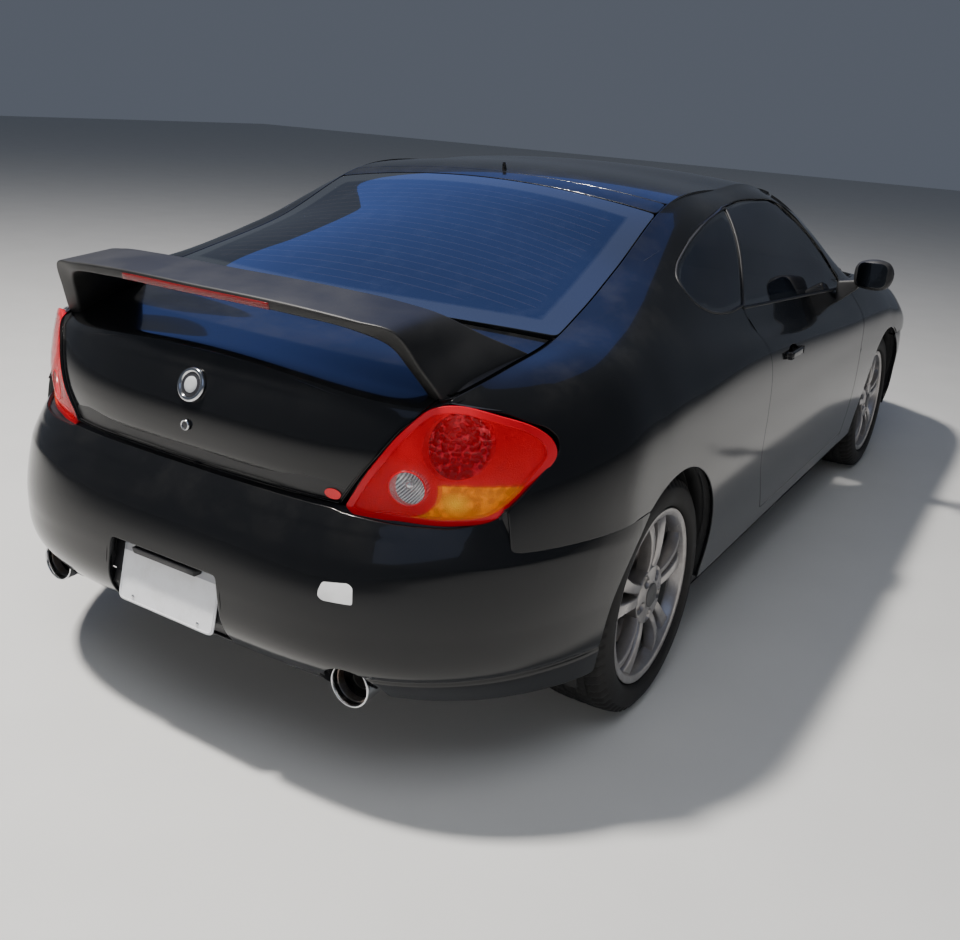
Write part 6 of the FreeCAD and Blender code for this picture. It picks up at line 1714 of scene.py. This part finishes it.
for name, inward in INWARD.items():
    press = frame["nodes"][name].modifiers.new("press", "DISPLACE")
    press.strength, press.mid_level = -inward * MM, 0.0

# %% [markdown]
# The camera was solved beforehand from points of the photograph, so its place, its turn and its focal
# length are given here as numbers in the car's frame.

# %% Camera
def set_camera():
    """Camera solved from the photograph: place, heading, slope and roll in the car's frame."""
    width, focal = 960.0, 1048.08017
    heading, slope, roll = 0.531512368, -0.253432373, 0.0727269326
    level = math.cos(slope)
    ahead = Vector((level * math.cos(heading), level * math.sin(heading), math.sin(slope)))
    right = ahead.cross(Vector((0, 0, 1))).normalized()
    up = right.cross(ahead)
    turned_right = math.cos(roll) * right + math.sin(roll) * up
    turned_up = -math.sin(roll) * right + math.cos(roll) * up
    data = bpy.data.cameras.new("camera")
    data.sensor_width = 36.0
    data.lens = focal * data.sensor_width / width
    data.shift_x = (480.0 - 489.540613) / width
    data.shift_y = (375.280143 - 470.0) / width
    data.clip_start, data.clip_end = 0.05, 200.0
    camera = bpy.data.objects.new("camera", data)
    bpy.context.scene.collection.objects.link(camera)
    turn = Matrix((turned_right, turned_up, -ahead)).transposed().to_4x4()
    camera.matrix_world = Matrix.Translation((-3.70049593, -1.70251442, 1.50857038)) @ turn
    bpy.context.scene.camera = camera


set_camera()

# %% [markdown]
# The stage is a plain pale floor. The key lamp stands where the sun does in the photograph, high behind
# the left side; the wide lamps are only mirrored in the paint, like the sky, and the small ones only fill
# the shade.

# %% Stage and light
floor_finish = Finish("pale_floor", roughness=0.6)
pale = floor_finish.blend(floor_finish.noise(3.0, 4.0), (0.50, 0.50, 0.495), (0.56, 0.56, 0.555))
floor_finish.set("Base Color", pale)
bpy.ops.mesh.primitive_plane_add(size=60)
floor_plane = bpy.context.object
floor_plane.name = "floor"
floor_plane.data.materials.append(floor_finish.material)


def lamp(name, place, target, size, power, colour, mirrored_in_paint=True, lights_up=True):
    """A plain area lamp turned toward a point, seen in reflections, as light on surfaces, or both."""
    data = bpy.data.lights.new(name, "AREA")
    data.shape, data.size, data.size_y = "RECTANGLE", size[0], size[1]
    data.energy, data.color = power, colour
    item = bpy.data.objects.new(name, data)
    bpy.context.scene.collection.objects.link(item)
    item.location = place
    item.visible_glossy, item.visible_diffuse = mirrored_in_paint, lights_up
    item.rotation_euler = (Vector(target) - Vector(place)).to_track_quat("-Z", "Y").to_euler()


world = bpy.data.worlds.new("studio")
bpy.context.scene.world = world
world.use_nodes = True
background = world.node_tree.nodes["Background"]
background.inputs["Color"].default_value = (0.70, 0.80, 1.0, 1)
background.inputs["Strength"].default_value = 0.14
lamp("sky", (3.4, 3.6, 9.4), (-1.2, 0, 1.1), (12.0, 12.0), 250, (0.05, 0.20, 1.0), lights_up=False)
lamp("key", (-3.2, 2.3, 7.6), (-0.9, 0, 0.3), (0.6, 0.6), 1400, (1.0, 0.96, 0.90))
lamp("rear_sky", (-9.0, -4.5, 7.0), (-2.0, -0.5, 0.6), (8.0, 5.0), 110, (0.28, 0.36, 0.60), lights_up=False)
lamp("overhead", (-4.5, -2.0, 6.5), (-1.4, 0, 0.6), (4.0, 4.0), 200, (0.95, 0.97, 1.0),
     mirrored_in_paint=False)
lamp("rear", (-7.5, -3.2, 3.0), (-1.8, 0, 0.6), (3.6, 1.2), 90, (1.0, 0.98, 0.95), mirrored_in_paint=False)
